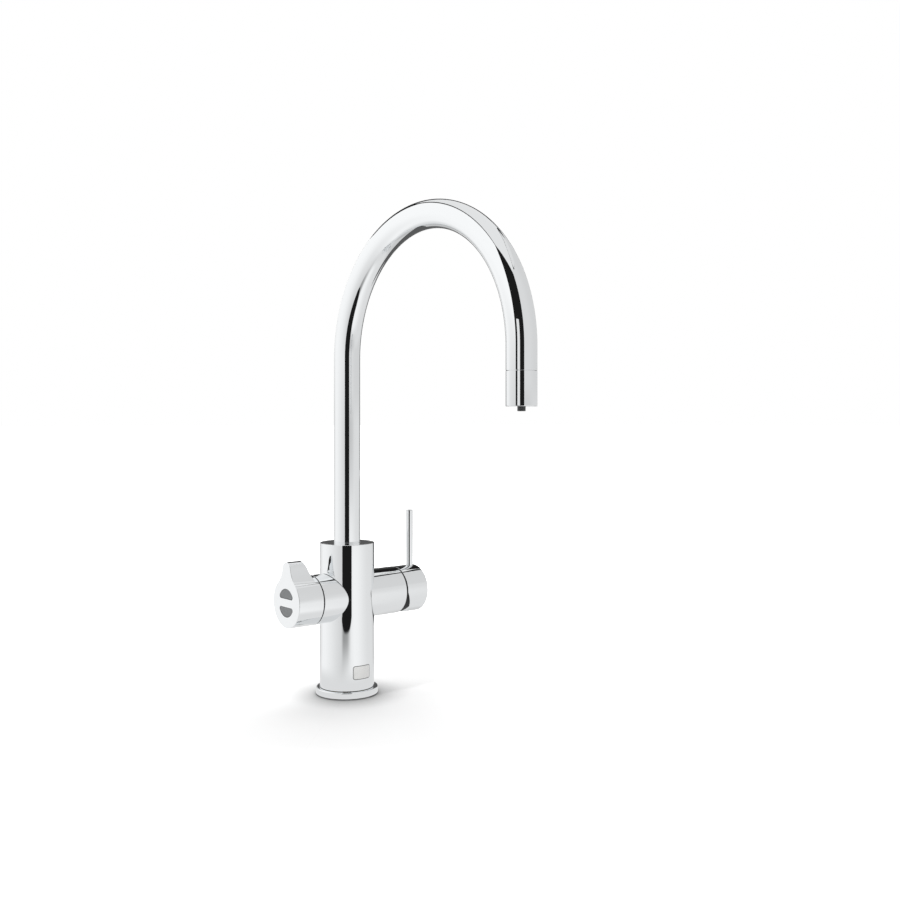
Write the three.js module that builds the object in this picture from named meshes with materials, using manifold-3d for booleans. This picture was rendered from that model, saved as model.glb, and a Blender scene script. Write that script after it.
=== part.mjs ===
// A chrome single-column kitchen tap for boiling, chilled and mixed water.
// Millimetres, +Z up. The origin is the centre of the base ring's underside, on the worktop.
// The spout points to -Y, the filtered-water lever is on -X and the mixer handle on +X.

import * as THREE from 'three';
import { mergeVertices } from 'three/addons/utils/BufferGeometryUtils.js';
import Module from 'manifold-3d';

const wasm = await Module();
wasm.setup();

// ---------------------------------------------------------------- driving dimensions

const FIT = 0.3; // clearance between neighbouring pieces
const RUNNING_FIT = 0.5; // clearance round a piece that turns
const LARGE_FACETS = 36;
const MEDIUM_FACETS = 18;
const SMALL_FACETS = 10;
const HEX_SIDES = 6; // hexagons, and holes too small to need more sides
const EDGE_STEPS = 2;
const DOME_STEPS = 3;
const ARC_STEPS = 8;
const LEVER_CURVE_STEPS = 5;
const BUTTON_CURVE_STEPS = 4;
const CUTTER_SPAN = 4; // a cutting block's side, in diameters of what it cuts

// base ring and column
const BASE_RING_LIP = 3.1; // how far the ring stands out past the column
const BASE_RING_HEIGHT = 6.2;
const BASE_RING_EDGE = 1.0;
const GASKET_WIDTH = 2.2;
const GASKET_HEIGHT = 1.6;
const COLUMN_DIAMETER = 46;
const COLUMN_WALL = 2.4;
const COLUMN_TOP = 127.5;
const COLUMN_EDGE = 0.5;
const COLUMN_CAP_HEIGHT = 3;

// fixing kit under the worktop
const WORKTOP_THICKNESS = 30;
const STUD_DIAMETER = 8;
const STUD_SETBACK = 14;
const STUD_ENGAGEMENT = 12;
const STUD_TAIL = 16;
const CLAMP_DIAMETER = 50;
const CLAMP_SLOT_WIDTH = 30;
const CLAMP_SLOT_CENTRE = -8;
const CLAMP_WASHER_HEIGHT = 3;
const CLAMP_PLATE_HEIGHT = 2.5;
const CLAMP_NUT_HEIGHT = 9;
const CLAMP_NUT_FLANGE_HEIGHT = 1.8;
const CLAMP_NUT_FLANGE_DIAMETER = 17;
const CLAMP_NUT_ACROSS_FLATS = 13;

// valve body inside the column
const BODY_BOTTOM = 1.8;
const BODY_WAIST_DEPTH = 2.5;
const BODY_WAIST_BOTTOM = 22;
const BODY_WAIST_TOP = 56;
const PORT_DIAMETER = 7.6;
const PORT_DEPTH = 14;
const PORT_CIRCLE_RADIUS = 11;
const PORT_ANGLES = [195, 245, 295, 345];
const RISER_DIAMETER = 5;
const RISER_TOP = 62;
const CABLE_DUCT_DIAMETER = 6.4;
const GROMMET_LENGTH = 7;
const GROMMET_SEAT_DEPTH = 1; // how much wider the grommet's seat is than the duct
const GROMMET_LIP = 1.2; // how far the grommet narrows the duct

// spout
const TUBE_DIAMETER = 22;
const TUBE_WALL = 1.5;
const ARCH_RADIUS = 106.7;
const ARCH_CENTRE_HEIGHT = 282.4;
const SPOUT_DROP = 17.2; // the arch's straight end above the nozzle
const NOZZLE_LENGTH = 24.6;
const NOZZLE_WALL = 1.3;
const NOZZLE_TENON_LENGTH = 8;
const NOZZLE_SEAM_GAP = 0.25;
const OUTLET_DIAMETER = 5.8;
const OUTLET_BORE = 3.4;
const OUTLET_PROJECTION = 3.4;
const INSERT_HEIGHT = 11;
const INSERT_RECESS = 0.8;
const JET_COUNT = 12;
const JET_DIAMETER = 1.5;
const JET_CIRCLE_DIAMETER = 13;
const BOILING_TUBE_DIAMETER = 5;
const CHILLED_TUBE_DIAMETER = 4.4;
const CHILLED_TUBE_OFFSET = 5.2;
const OUTLET_ROOT = 3;
const INNER_TUBE_WALL = 0.8;
const INNER_TUBE_FACETS = 6;
const ARCH_STEPS = 24;
const INNER_TUBE_STEPS = 12;
const TUBE_FACETS = 24;
const TUBE_BORE_FACETS = 14;

// swivelling spigot at the spout's foot
const SPIGOT_DIAMETER = 28;
const SPIGOT_LENGTH = 23;
const SPIGOT_STEP_HEIGHT = 5.2;
const SPIGOT_SOCKET_DEPTH = 14;
const SPIGOT_LAND = 1;
const GROOVE_DEPTH = 1.4;
const GUIDE_RING_HEIGHT = 3.4;
const GUIDE_RING_PROUD = 0.15;
const GUIDE_RING_SPLIT = 1;
const O_RING_THICKNESS = 1.5;
const SWIVEL_LIMIT = 90;
const STOP_SCREW_DIAMETER = 4;
const STOP_SCREW_REACH = 12.3;

// both side units
const HANDLE_HEIGHT = 82.4;
const SLEEVE_DIAMETER = 35.2;
const CARRIER_DIAMETER = 34.6;
const CARRIER_SHANK_DIAMETER = 18;
const CARRIER_SHANK_START = 8;
const CARRIER_SEAT = 17;
const CARRIER_FLOOR = 4;
const GRUB_SCREW_DIAMETER = 3;

// filtered-water lever unit on -X; distances run outward from the column axis
const LEVER_DIAMETER = 41;
const LEVER_SEAM = 36;
const LEVER_SEAM_GAP = 0.6;
const LEVER_FACE = 59.6;
const LEVER_FRONT_WALL = 2.6;
const LEVER_EDGE = 0.5;
const LEVER_TIP_RADIUS = 6.3;
const LEVER_TIP_HEIGHT = 33.3;
const LEVER_SHOULDER_RADIUS = 20;
const LEVER_TIP_THICKNESS = 13.5;
const LEVER_SLOPE = 23;
const LEVER_WALL = 3;
const LEVER_CUP_WALL = 3.1;
const LEVER_CUP_SETBACK = 1.1;
const BOARD_THICKNESS = 1.6;
const MAT_THICKNESS = 1.2;
const BUTTON_RADIUS = 11.4;
const BUTTON_SPACING = 7;
const BUTTON_CORNER = 1.8;
const BUTTON_CLEARANCE = 0.25;
const BUTTON_FLANGE_WIDTH = 1;
const BUTTON_FLANGE_THICKNESS = 1.2;
const BUTTON_RECESS = 0.2;
const BUTTON_TRAVEL = 0.8;
const SPINDLE_DIAMETER = 12;
const SPINDLE_TENON_DIAMETER = 14;
const SPINDLE_TENON_LENGTH = 9.4;
const SPINDLE_SHOULDER_DIAMETER = 17.2;
const SPINDLE_SHOULDER_LENGTH = 2;
const SPINDLE_LENGTH_BEHIND = 8.3;
const BUSH_LENGTH = 4.8;
const CIRCLIP_THICKNESS = 1.2;
const CIRCLIP_DIAMETER = 16;
const CIRCLIP_GROOVE_DEPTH = 0.9;
const CIRCLIP_OPENING = 3;
const MAGNET_LENGTH = 2;

// mixer unit on +X; distances run outward from the column axis
const MIXER_DIAMETER = 40.4;
const MIXER_SEAM = 49.4;
const MIXER_SEAM_GAP = 0.5;
const MIXER_END = 72.2;
const MIXER_EDGE = 1;
const CARTRIDGE_DIAMETER = 28;
const CARTRIDGE_NECK_DIAMETER = 20.8;
const CARTRIDGE_NECK_LENGTH = 2.6;
const CARTRIDGE_LENGTH = 17.6;
const CARTRIDGE_BORE_DEPTH = 13.6;
const CARTRIDGE_SEAL_THICKNESS = 1.5;
const CARTRIDGE_SEAL_WIDTH = 3;
const MIXER_CUP_LENGTH = 30;
const CARTRIDGE_NUT_LENGTH = 5.5;
const CARTRIDGE_NUT_DIAMETER = 31;
const CARTRIDGE_NUT_NOTCHES = 6;
const CARTRIDGE_NUT_NOTCH_WIDTH = 3;
const WATERWAY_DIAMETER = 4.6;
const WATERWAY_COUNT = 3;
const ROTOR_DIAMETER = 16;
const ROTOR_OVERHANG = 4;
const ROTOR_SLOT_WIDTH = 6.4;
const ROTOR_SLOT_START = 36;
const PIVOT_PIN_DIAMETER = 3;
const STEM_DEPTH = 7;
const STEM_FOOT_DEPTH = 5;
const STEM_FOOT_START = 37.5;
const STEM_FOOT_END = 44.5;
const STEM_END = 70.2;
const CAP_SCREW_SETBACK = 1.3;
const STEM_SOCKET_START = 62;
const DOME_DIAMETER = 34.2;
const DOME_WALL = 1.2;
const DOME_WINDOW_ANGLE = 37;
const TILT_WEDGE = 20;
const PIN_DIAMETER = 6;
const PIN_DISTANCE = 66.8;
const PIN_TOP = 69;
const PIN_ROOT = 8.3;
const PIN_EDGE = 0.5;

// ---------------------------------------------------------------- worked-out sizes

const columnRadius = COLUMN_DIAMETER / 2;
const columnBore = columnRadius - COLUMN_WALL;
const baseRingRadius = columnRadius + BASE_RING_LIP;
const bodyRadius = columnBore - FIT;
const bodyTop = COLUMN_TOP - COLUMN_CAP_HEIGHT - FIT;
const tubeRadius = TUBE_DIAMETER / 2;
const tubeBore = tubeRadius - TUBE_WALL;
const spigotRadius = SPIGOT_DIAMETER / 2;
const spigotBottom = bodyTop - SPIGOT_LENGTH;
const socketFloor = spigotBottom - FIT;
const socketRadius = spigotRadius + RUNNING_FIT;
const tubeSeatRadius = tubeRadius + FIT;
const tubeFoot = bodyTop - SPIGOT_SOCKET_DEPTH + FIT;
const nozzleSeam = ARCH_CENTRE_HEIGHT - SPOUT_DROP;
const nozzleBottom = nozzleSeam - NOZZLE_LENGTH;
const insertBottom = nozzleBottom + INSERT_RECESS;
const insertTop = insertBottom + INSERT_HEIGHT;
const clampTop = -WORKTOP_THICKNESS;
const clampPlateTop = clampTop - CLAMP_WASHER_HEIGHT;
const clampNutTop = clampPlateTop - CLAMP_PLATE_HEIGHT;
const clampNutBottom = clampNutTop - CLAMP_NUT_HEIGHT;
const studRadius = STUD_DIAMETER / 2;
const carrierRadius = CARRIER_DIAMETER / 2;
const carrierBack = CARRIER_SEAT + FIT;
const carrierFloorEnd = carrierBack + CARRIER_FLOOR;
const sleeveBore = SLEEVE_DIAMETER / 2;
const grubRadius = GRUB_SCREW_DIAMETER / 2;

// ---------------------------------------------------------------- materials

function metal(color, roughness) {
  return new THREE.MeshStandardMaterial({ color, roughness, metalness: 1 });
}

function plastic(color, roughness) {
  return new THREE.MeshStandardMaterial({ color, roughness, metalness: 0 });
}

const chrome = metal(0xe3e6e8, 0.05);
const brass = metal(0xc9a557, 0.35);
const steel = metal(0xa9adb0, 0.35);
const rubber = plastic(0x1d1d1f, 0.85);
const blackPlastic = plastic(0x16171a, 0.35);
const whitePlastic = plastic(0xe6e6e2, 0.5);
const buttonPlastic = plastic(0x7e8181, 0.3);
const greenBoard = plastic(0x1f5a37, 0.5);
const darkPlastic = plastic(0x3a3c3e, 0.45);
const magnetGrey = metal(0x6b6d70, 0.45);

// ---------------------------------------------------------------- shape helpers

const degrees = THREE.MathUtils.degToRad;

// A closed mesh with shared vertices, without the slivers that a lathe leaves on its axis.
function closedMesh(geometry) {
  const bare = new THREE.BufferGeometry();
  bare.setAttribute('position', geometry.getAttribute('position').clone());
  if (geometry.index) {
    bare.setIndex(geometry.index.clone());
  }
  const merged = mergeVertices(bare, 1e-5);
  const corners = merged.index.array;
  const kept = [];
  for (let i = 0; i < corners.length; i += 3) {
    const [a, b, c] = corners.subarray(i, i + 3);
    if (a !== b && b !== c && c !== a) {
      kept.push(a, b, c);
    }
  }
  merged.setIndex(kept);
  return merged;
}

function toSolid(geometry) {
  const mesh = closedMesh(geometry);
  return new wasm.Manifold(new wasm.Mesh({
    numProp: 3,
    vertProperties: new Float32Array(mesh.getAttribute('position').array),
    triVerts: new Uint32Array(mesh.index.array),
  }));
}

function toGeometry(solid) {
  const mesh = solid.getMesh();
  const geometry = new THREE.BufferGeometry();
  geometry.setAttribute('position', new THREE.BufferAttribute(mesh.vertProperties, 3));
  geometry.setIndex(new THREE.BufferAttribute(mesh.triVerts, 1));
  geometry.computeVertexNormals();
  return geometry;
}

function cut(geometry, ...tools) {
  let result = toSolid(geometry);
  for (const tool of tools) {
    result = result.subtract(toSolid(tool));
  }
  return toGeometry(result);
}

function join(geometry, ...others) {
  let result = toSolid(geometry);
  for (const other of others) {
    result = result.add(toSolid(other));
  }
  return toGeometry(result);
}

// A solid of revolution about +Z from an outline of [radius, height] points. The outline runs
// upward on its outer side; it ends on the axis, or is closed here if it stands clear of it.
function turned(outline, facets = MEDIUM_FACETS) {
  const points = outline.map(([radius, height]) => new THREE.Vector2(radius, height));
  if (points[0].x > 0) {
    points.push(points[0].clone());
  }
  return closedMesh(new THREE.LatheGeometry(points, facets)).rotateX(Math.PI / 2);
}

function disc(radius, from, to, facets) {
  return turned([[0, from], [radius, from], [radius, to], [0, to]], facets);
}

function ring(inner, outer, from, to, facets) {
  return turned([[inner, from], [outer, from], [outer, to], [inner, to]], facets);
}

// Outline points of an arc, in degrees, counted from the outward direction.
function arcPoints(centreRadius, centreHeight, radius, start, end, steps) {
  return Array.from({ length: steps + 1 }, (_, i) => {
    const angle = degrees(start + (end - start) * i / steps);
    return [centreRadius + radius * Math.cos(angle), centreHeight + radius * Math.sin(angle)];
  });
}

// The rounded outer corner at the top of a turned outline.
function roundedCorner(outer, top, edge) {
  return arcPoints(outer - edge, top - edge, edge, 0, 90, EDGE_STEPS);
}

function box(width, depth, height) {
  return new THREE.BoxGeometry(width, depth, height);
}

function extruded(shape, from, to, curveSegments) {
  const geometry = new THREE.ExtrudeGeometry(shape, {
    depth: to - from,
    bevelEnabled: false,
    curveSegments,
  });
  return closedMesh(geometry).translate(0, 0, from);
}

function piece(name, geometry, material) {
  const mesh = new THREE.Mesh(geometry, material);
  mesh.name = name;
  return mesh;
}

// A group whose +Z runs outward along the given sign of X and whose +X runs up.
function sideGroup(sign) {
  const up = new THREE.Vector3(0, 0, 1);
  const outward = new THREE.Vector3(sign, 0, 0);
  const across = outward.clone().cross(up);
  const group = new THREE.Group();
  group.quaternion.setFromRotationMatrix(new THREE.Matrix4().makeBasis(up, across, outward));
  group.position.set(0, 0, HANDLE_HEIGHT);
  return group;
}

// The solid of a side unit's axis, brought into the column's own axes for cutting.
function towardSide(geometry, sign) {
  const placed = geometry.clone();
  const group = sideGroup(sign);
  group.updateMatrix();
  return placed.applyMatrix4(group.matrix);
}

// The column's outside, brought into a side unit's axes, to cut a saddle that fits round it.
function columnSaddle() {
  const reach = 2 * LEVER_DIAMETER;
  const column = disc(columnRadius + FIT, -reach, reach, LARGE_FACETS);
  return column.rotateY(Math.PI / 2);
}

// ---------------------------------------------------------------- base, column and fixing kit

function baseRing() {
  const body = turned([
    [columnBore, 0],
    [baseRingRadius, 0],
    ...roundedCorner(baseRingRadius, BASE_RING_HEIGHT, BASE_RING_EDGE),
    [columnBore, BASE_RING_HEIGHT],
  ], LARGE_FACETS);
  const inner = gasketInner() - FIT;
  const outerWall = inner + GASKET_WIDTH + 2 * FIT;
  const groove = ring(inner, outerWall, -1, GASKET_HEIGHT + FIT, LARGE_FACETS);
  return cut(body, groove);
}

function gasketInner() {
  const middle = (columnBore + baseRingRadius) / 2;
  return middle - GASKET_WIDTH / 2;
}

function baseGasket() {
  const inner = gasketInner();
  return ring(inner, inner + GASKET_WIDTH, 0, GASKET_HEIGHT, LARGE_FACETS);
}

function stopScrewHole() {
  const hole = disc(STOP_SCREW_DIAMETER / 2 + FIT, 0, COLUMN_DIAMETER, SMALL_FACETS);
  return hole.rotateX(-Math.PI / 2).translate(0, 0, stopScrewHeight());
}

function stopScrewHeight() {
  return spigotBottom + SPIGOT_STEP_HEIGHT / 2;
}

function columnShell() {
  const bottom = BASE_RING_HEIGHT + FIT;
  const body = turned([
    [columnBore, bottom],
    [columnRadius, bottom],
    [columnRadius, COLUMN_TOP - COLUMN_EDGE],
    [columnRadius - COLUMN_EDGE, COLUMN_TOP],
    [columnBore, COLUMN_TOP],
  ], LARGE_FACETS);
  const opening = disc(sleeveBore, 0, COLUMN_DIAMETER, MEDIUM_FACETS);
  return cut(body, towardSide(opening, 1), towardSide(opening, -1), stopScrewHole());
}

function columnCap() {
  return ring(tubeRadius + RUNNING_FIT, columnBore - FIT, bodyTop + FIT, COLUMN_TOP, LARGE_FACETS);
}

function valveBody() {
  const waist = bodyRadius - BODY_WAIST_DEPTH;
  const body = turned([
    [0, BODY_BOTTOM],
    [bodyRadius, BODY_BOTTOM],
    [bodyRadius, BODY_WAIST_BOTTOM],
    [waist, BODY_WAIST_BOTTOM + BODY_WAIST_DEPTH],
    [waist, BODY_WAIST_TOP - BODY_WAIST_DEPTH],
    [bodyRadius, BODY_WAIST_TOP],
    [bodyRadius, bodyTop],
    [socketRadius, bodyTop],
    [socketRadius, socketFloor],
    [0, socketFloor],
  ], MEDIUM_FACETS);
  const seat = disc(sleeveBore, CARRIER_SEAT, COLUMN_DIAMETER, MEDIUM_FACETS);
  const shankRadius = CARRIER_SHANK_DIAMETER / 2 + FIT;
  const shankBore = disc(shankRadius, CARRIER_SHANK_START - FIT, COLUMN_DIAMETER, MEDIUM_FACETS);
  const sideCuts = [1, -1].flatMap((sign) => [towardSide(seat, sign), towardSide(shankBore, sign)]);
  const cableRadius = CABLE_DUCT_DIAMETER / 2;
  const cableRise = disc(cableRadius, 0, HANDLE_HEIGHT + cableRadius, SMALL_FACETS);
  const cableTurn = towardSide(disc(cableRadius, 0, CARRIER_SEAT, SMALL_FACETS), -1);
  const grommetSeat = disc(grommetRadius() + FIT, 0, BODY_BOTTOM + GROMMET_LENGTH + FIT, SMALL_FACETS);
  const studHole = disc(studRadius + FIT, 0, BODY_BOTTOM + STUD_ENGAGEMENT + FIT, SMALL_FACETS);
  studHole.translate(0, STUD_SETBACK, 0);
  const ports = PORT_ANGLES.flatMap((angle) => {
    const x = PORT_CIRCLE_RADIUS * Math.cos(degrees(angle));
    const y = PORT_CIRCLE_RADIUS * Math.sin(degrees(angle));
    const mouth = disc(PORT_DIAMETER / 2, 0, BODY_BOTTOM + PORT_DEPTH, SMALL_FACETS);
    const riser = disc(RISER_DIAMETER / 2, 0, RISER_TOP, SMALL_FACETS);
    return [mouth.translate(x, y, 0), riser.translate(x, y, 0)];
  });
  return cut(body, ...sideCuts, cableRise, cableTurn, grommetSeat, studHole, ...ports, stopScrewHole());
}

function grommetRadius() {
  return CABLE_DUCT_DIAMETER / 2 + GROMMET_SEAT_DEPTH;
}

function cableGrommet() {
  const bore = CABLE_DUCT_DIAMETER / 2 - GROMMET_LIP;
  return ring(bore, grommetRadius(), BODY_BOTTOM, BODY_BOTTOM + GROMMET_LENGTH, SMALL_FACETS);
}

function mountingStud() {
  const top = BODY_BOTTOM + STUD_ENGAGEMENT;
  const bottom = clampNutBottom - STUD_TAIL;
  return turned([
    [0, bottom],
    [studRadius - 1, bottom],
    [studRadius, bottom + 1],
    [studRadius, top],
    [0, top],
  ], SMALL_FACETS).translate(0, STUD_SETBACK, 0);
}

// The horseshoe outline that lets the hoses through its mouth.
function horseshoe() {
  const outer = CLAMP_DIAMETER / 2;
  const half = CLAMP_SLOT_WIDTH / 2;
  const mouthAngle = Math.asin(half / outer);
  const shape = new THREE.Shape();
  shape.absarc(0, 0, outer, -Math.PI / 2 + mouthAngle, 1.5 * Math.PI - mouthAngle, false);
  shape.absarc(0, CLAMP_SLOT_CENTRE, half, Math.PI, 0, true);
  shape.closePath();
  const hole = new THREE.Path();
  hole.absarc(0, STUD_SETBACK, studRadius + FIT, 0, 2 * Math.PI, true);
  shape.holes.push(hole);
  return shape;
}

function clampWasher() {
  return extruded(horseshoe(), clampPlateTop, clampTop, ARC_STEPS);
}

function clampPlate() {
  return extruded(horseshoe(), clampNutTop, clampPlateTop, ARC_STEPS);
}

function clampNut() {
  const hexRadius = CLAMP_NUT_ACROSS_FLATS / 2 / Math.cos(Math.PI / HEX_SIDES);
  const flangeBottom = clampNutTop - CLAMP_NUT_FLANGE_HEIGHT;
  const flange = disc(CLAMP_NUT_FLANGE_DIAMETER / 2, flangeBottom, clampNutTop, MEDIUM_FACETS);
  const hexagon = disc(hexRadius, clampNutBottom, flangeBottom + FIT, HEX_SIDES);
  const bore = disc(studRadius + FIT, clampNutBottom - 1, clampNutTop + 1, SMALL_FACETS);
  return cut(join(flange, hexagon), bore).translate(0, STUD_SETBACK, 0);
}

// The key socket in the head of a screw of the given radius.
function hexSocket(radius, head) {
  return disc(radius / 2, head - radius, head + 1, HEX_SIDES);
}

function stopScrew() {
  const end = columnRadius - FIT;
  const radius = STOP_SCREW_DIAMETER / 2;
  const screw = disc(radius, STOP_SCREW_REACH, end, SMALL_FACETS);
  return cut(screw, hexSocket(radius, end)).rotateX(-Math.PI / 2).translate(0, 0, stopScrewHeight());
}

// ---------------------------------------------------------------- swivelling spout

// The spout's centre line: one step up the column, even steps over the arch, one step down.
class SpoutLine extends THREE.Curve {
  constructor(foot, end, archSteps) {
    super();
    this.foot = foot;
    this.end = end;
    this.archSteps = archSteps;
    this.steps = archSteps + 2;
  }

  turn(step) {
    return Math.PI * THREE.MathUtils.clamp((step - 1) / this.archSteps, 0, 1);
  }

  getPoint(part) {
    const step = part * this.steps;
    const turn = this.turn(step);
    const forward = ARCH_RADIUS * (1 - Math.cos(turn));
    const height = ARCH_CENTRE_HEIGHT + ARCH_RADIUS * Math.sin(turn);
    const riser = Math.max(1 - step, 0) * (ARCH_CENTRE_HEIGHT - this.foot);
    const drop = Math.max(step - this.archSteps - 1, 0) * (ARCH_CENTRE_HEIGHT - this.end);
    return new THREE.Vector3(0, -forward, height - riser - drop);
  }

  getTangent(part) {
    const turn = this.turn(part * this.steps);
    return new THREE.Vector3(0, -Math.sin(turn), Math.cos(turn));
  }

  getPointAt(part) {
    return this.getPoint(part);
  }

  getTangentAt(part) {
    return this.getTangent(part);
  }
}

function circleOutline(radius, facets) {
  return Array.from({ length: facets }, (_, i) => {
    const angle = 2 * Math.PI * i / facets;
    return new THREE.Vector2(radius * Math.cos(angle), radius * Math.sin(angle));
  });
}

function tubeAlong(line, outer, outerFacets, inner, innerFacets) {
  const section = new THREE.Shape(circleOutline(outer, outerFacets));
  section.holes.push(new THREE.Path(circleOutline(inner, innerFacets).reverse()));
  return closedMesh(new THREE.ExtrudeGeometry(section, {
    steps: line.steps,
    extrudePath: line,
  }));
}

function spoutTube() {
  const line = new SpoutLine(tubeFoot, nozzleSeam + NOZZLE_SEAM_GAP / 2, ARCH_STEPS);
  return tubeAlong(line, tubeRadius, TUBE_FACETS, tubeBore, TUBE_BORE_FACETS);
}

// The grooves of the spigot, from the lowest up: guide ring, two O-rings, guide ring.
function spigotGrooves() {
  const heights = [GUIDE_RING_HEIGHT, O_RING_THICKNESS, O_RING_THICKNESS, GUIDE_RING_HEIGHT];
  let from = spigotBottom + SPIGOT_STEP_HEIGHT + SPIGOT_LAND;
  return heights.map((height) => {
    const groove = { from, to: from + height + 2 * FIT };
    from = groove.to + SPIGOT_LAND;
    return groove;
  });
}

const grooveRadius = spigotRadius - GROOVE_DEPTH;

function spoutSpigot() {
  const outline = [[0, spigotBottom], [spigotRadius, spigotBottom]];
  for (const { from, to } of spigotGrooves()) {
    outline.push([spigotRadius, from], [grooveRadius, from], [grooveRadius, to], [spigotRadius, to]);
  }
  const seat = bodyTop - SPIGOT_SOCKET_DEPTH;
  outline.push([spigotRadius, bodyTop], [tubeSeatRadius, bodyTop], [tubeSeatRadius, seat], [0, seat]);
  const below = spigotBottom - 1;
  const boilingBore = disc(BOILING_TUBE_DIAMETER / 2 + FIT, below, bodyTop, SMALL_FACETS);
  const chilledBore = disc(CHILLED_TUBE_DIAMETER / 2 + FIT, below, bodyTop, SMALL_FACETS);
  const mixedBore = chilledBore.clone().translate(-CHILLED_TUBE_OFFSET - 2 * FIT, 0, 0);
  chilledBore.translate(CHILLED_TUBE_OFFSET, 0, 0);
  return cut(turned(outline, MEDIUM_FACETS), boilingBore, chilledBore, mixedBore, stopTrack());
}

// The track that the stop screw runs in: its ends meet the screw at the swivel's limits.
function stopTrack() {
  const screw = STOP_SCREW_DIAMETER / 2 + FIT;
  const halfAngle = degrees(SWIVEL_LIMIT) + Math.asin(screw / STOP_SCREW_REACH);
  const track = new THREE.Shape();
  const reach = SPIGOT_DIAMETER;
  const middle = Math.PI / 2;
  track.absarc(0, 0, reach, middle - halfAngle, middle + halfAngle, false);
  track.absarc(0, 0, STOP_SCREW_REACH - FIT, middle + halfAngle, middle - halfAngle, true);
  return extruded(track, spigotBottom - 1, spigotBottom + SPIGOT_STEP_HEIGHT, ARC_STEPS);
}

function spigotGuideRing(index) {
  const { from, to } = spigotGrooves()[index];
  const inner = grooveRadius + GUIDE_RING_PROUD;
  const guide = ring(inner, spigotRadius + GUIDE_RING_PROUD, from + FIT, to - FIT, MEDIUM_FACETS);
  const split = box(SPIGOT_DIAMETER, GUIDE_RING_SPLIT, 2 * GUIDE_RING_HEIGHT);
  return cut(guide, split.translate(-spigotRadius, 0, (from + to) / 2));
}

function spigotORing(index) {
  const { from, to } = spigotGrooves()[index];
  const middle = (grooveRadius + socketRadius) / 2;
  const section = arcPoints(middle, (from + to) / 2, O_RING_THICKNESS / 2, 0, 360, HEX_SIDES);
  return turned(section.slice(0, -1), MEDIUM_FACETS);
}

function nozzleShell() {
  const wallRadius = tubeRadius - NOZZLE_WALL;
  const tenonRadius = tubeBore - FIT;
  const tenonBore = tenonRadius - NOZZLE_WALL;
  const seam = nozzleSeam - NOZZLE_SEAM_GAP / 2;
  const tenonTop = seam + NOZZLE_TENON_LENGTH;
  return turned([
    [wallRadius, nozzleBottom],
    [tubeRadius - COLUMN_EDGE, nozzleBottom],
    [tubeRadius, nozzleBottom + COLUMN_EDGE],
    [tubeRadius, seam],
    [tenonRadius, seam],
    [tenonRadius, tenonTop],
    [tenonBore, tenonTop],
    [tenonBore, insertTop + FIT],
    [wallRadius, insertTop + FIT],
  ], MEDIUM_FACETS).translate(0, -2 * ARCH_RADIUS, 0);
}

function nozzleInsert() {
  const body = disc(tubeRadius - NOZZLE_WALL - FIT, insertBottom, insertTop, MEDIUM_FACETS);
  const bore = disc(OUTLET_DIAMETER / 2 + FIT, 0, insertTop + 1, SMALL_FACETS);
  const jets = Array.from({ length: JET_COUNT }, (_, i) => {
    const jet = disc(JET_DIAMETER / 2, 0, insertTop + 1, HEX_SIDES);
    return jet.translate(JET_CIRCLE_DIAMETER / 2, 0, 0).rotateZ(2 * Math.PI * i / JET_COUNT);
  });
  return cut(body, bore, ...jets).translate(0, -2 * ARCH_RADIUS, 0);
}

function boilingOutlet() {
  const bottom = nozzleBottom - OUTLET_PROJECTION;
  const outlet = ring(OUTLET_BORE / 2, OUTLET_DIAMETER / 2, bottom, insertTop + OUTLET_ROOT, SMALL_FACETS);
  return outlet.translate(0, -2 * ARCH_RADIUS, 0);
}

function innerTube(diameter, offset) {
  const end = insertTop + OUTLET_ROOT + FIT;
  const line = new SpoutLine(spigotBottom + FIT, end, INNER_TUBE_STEPS);
  const outer = diameter / 2;
  const bore = outer - INNER_TUBE_WALL;
  return tubeAlong(line, outer, INNER_TUBE_FACETS, bore, INNER_TUBE_FACETS).translate(offset, 0, 0);
}

function spout() {
  const group = new THREE.Group();
  group.add(
    piece('spout_tube', spoutTube(), chrome),
    piece('spout_spigot', spoutSpigot(), brass),
    piece('lower_guide_ring', spigotGuideRing(0), whitePlastic),
    piece('lower_spigot_o_ring', spigotORing(1), rubber),
    piece('upper_spigot_o_ring', spigotORing(2), rubber),
    piece('upper_guide_ring', spigotGuideRing(3), whitePlastic),
    piece('nozzle_shell', nozzleShell(), chrome),
    piece('nozzle_insert', nozzleInsert(), darkPlastic),
    piece('boiling_outlet', boilingOutlet(), darkPlastic),
    piece('boiling_tube', innerTube(BOILING_TUBE_DIAMETER, 0), whitePlastic),
    piece('chilled_tube', innerTube(CHILLED_TUBE_DIAMETER, CHILLED_TUBE_OFFSET), whitePlastic),
  );
  return group;
}

// ---------------------------------------------------------------- filtered-water lever unit

const leverRadius = LEVER_DIAMETER / 2;
const leverCupEnd = LEVER_SEAM - LEVER_SEAM_GAP / 2 - LEVER_CUP_SETBACK;
const leverCupBore = carrierRadius - LEVER_CUP_WALL;
const cableRadius = CABLE_DUCT_DIAMETER / 2;
const bushEnd = leverCupEnd - FIT;
const bushStart = bushEnd - BUSH_LENGTH;
const spindleRadius = SPINDLE_DIAMETER / 2;
const shoulderStart = bushEnd + FIT;
const shoulderEnd = shoulderStart + SPINDLE_SHOULDER_LENGTH;
const spindleEnd = shoulderEnd + SPINDLE_TENON_LENGTH;
const spindleStart = shoulderStart - SPINDLE_LENGTH_BEHIND;
const circlipEnd = bushStart - FIT;
const circlipStart = circlipEnd - CIRCLIP_THICKNESS;
const leverBack = LEVER_SEAM + LEVER_SEAM_GAP / 2;
const leverCavityEnd = LEVER_FACE - LEVER_FRONT_WALL;
const flangeFront = leverCavityEnd - FIT;
const flangeBack = flangeFront - BUTTON_FLANGE_THICKNESS;
const matFront = flangeBack - BUTTON_TRAVEL - FIT;
const boardFront = matFront - MAT_THICKNESS - FIT;
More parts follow.
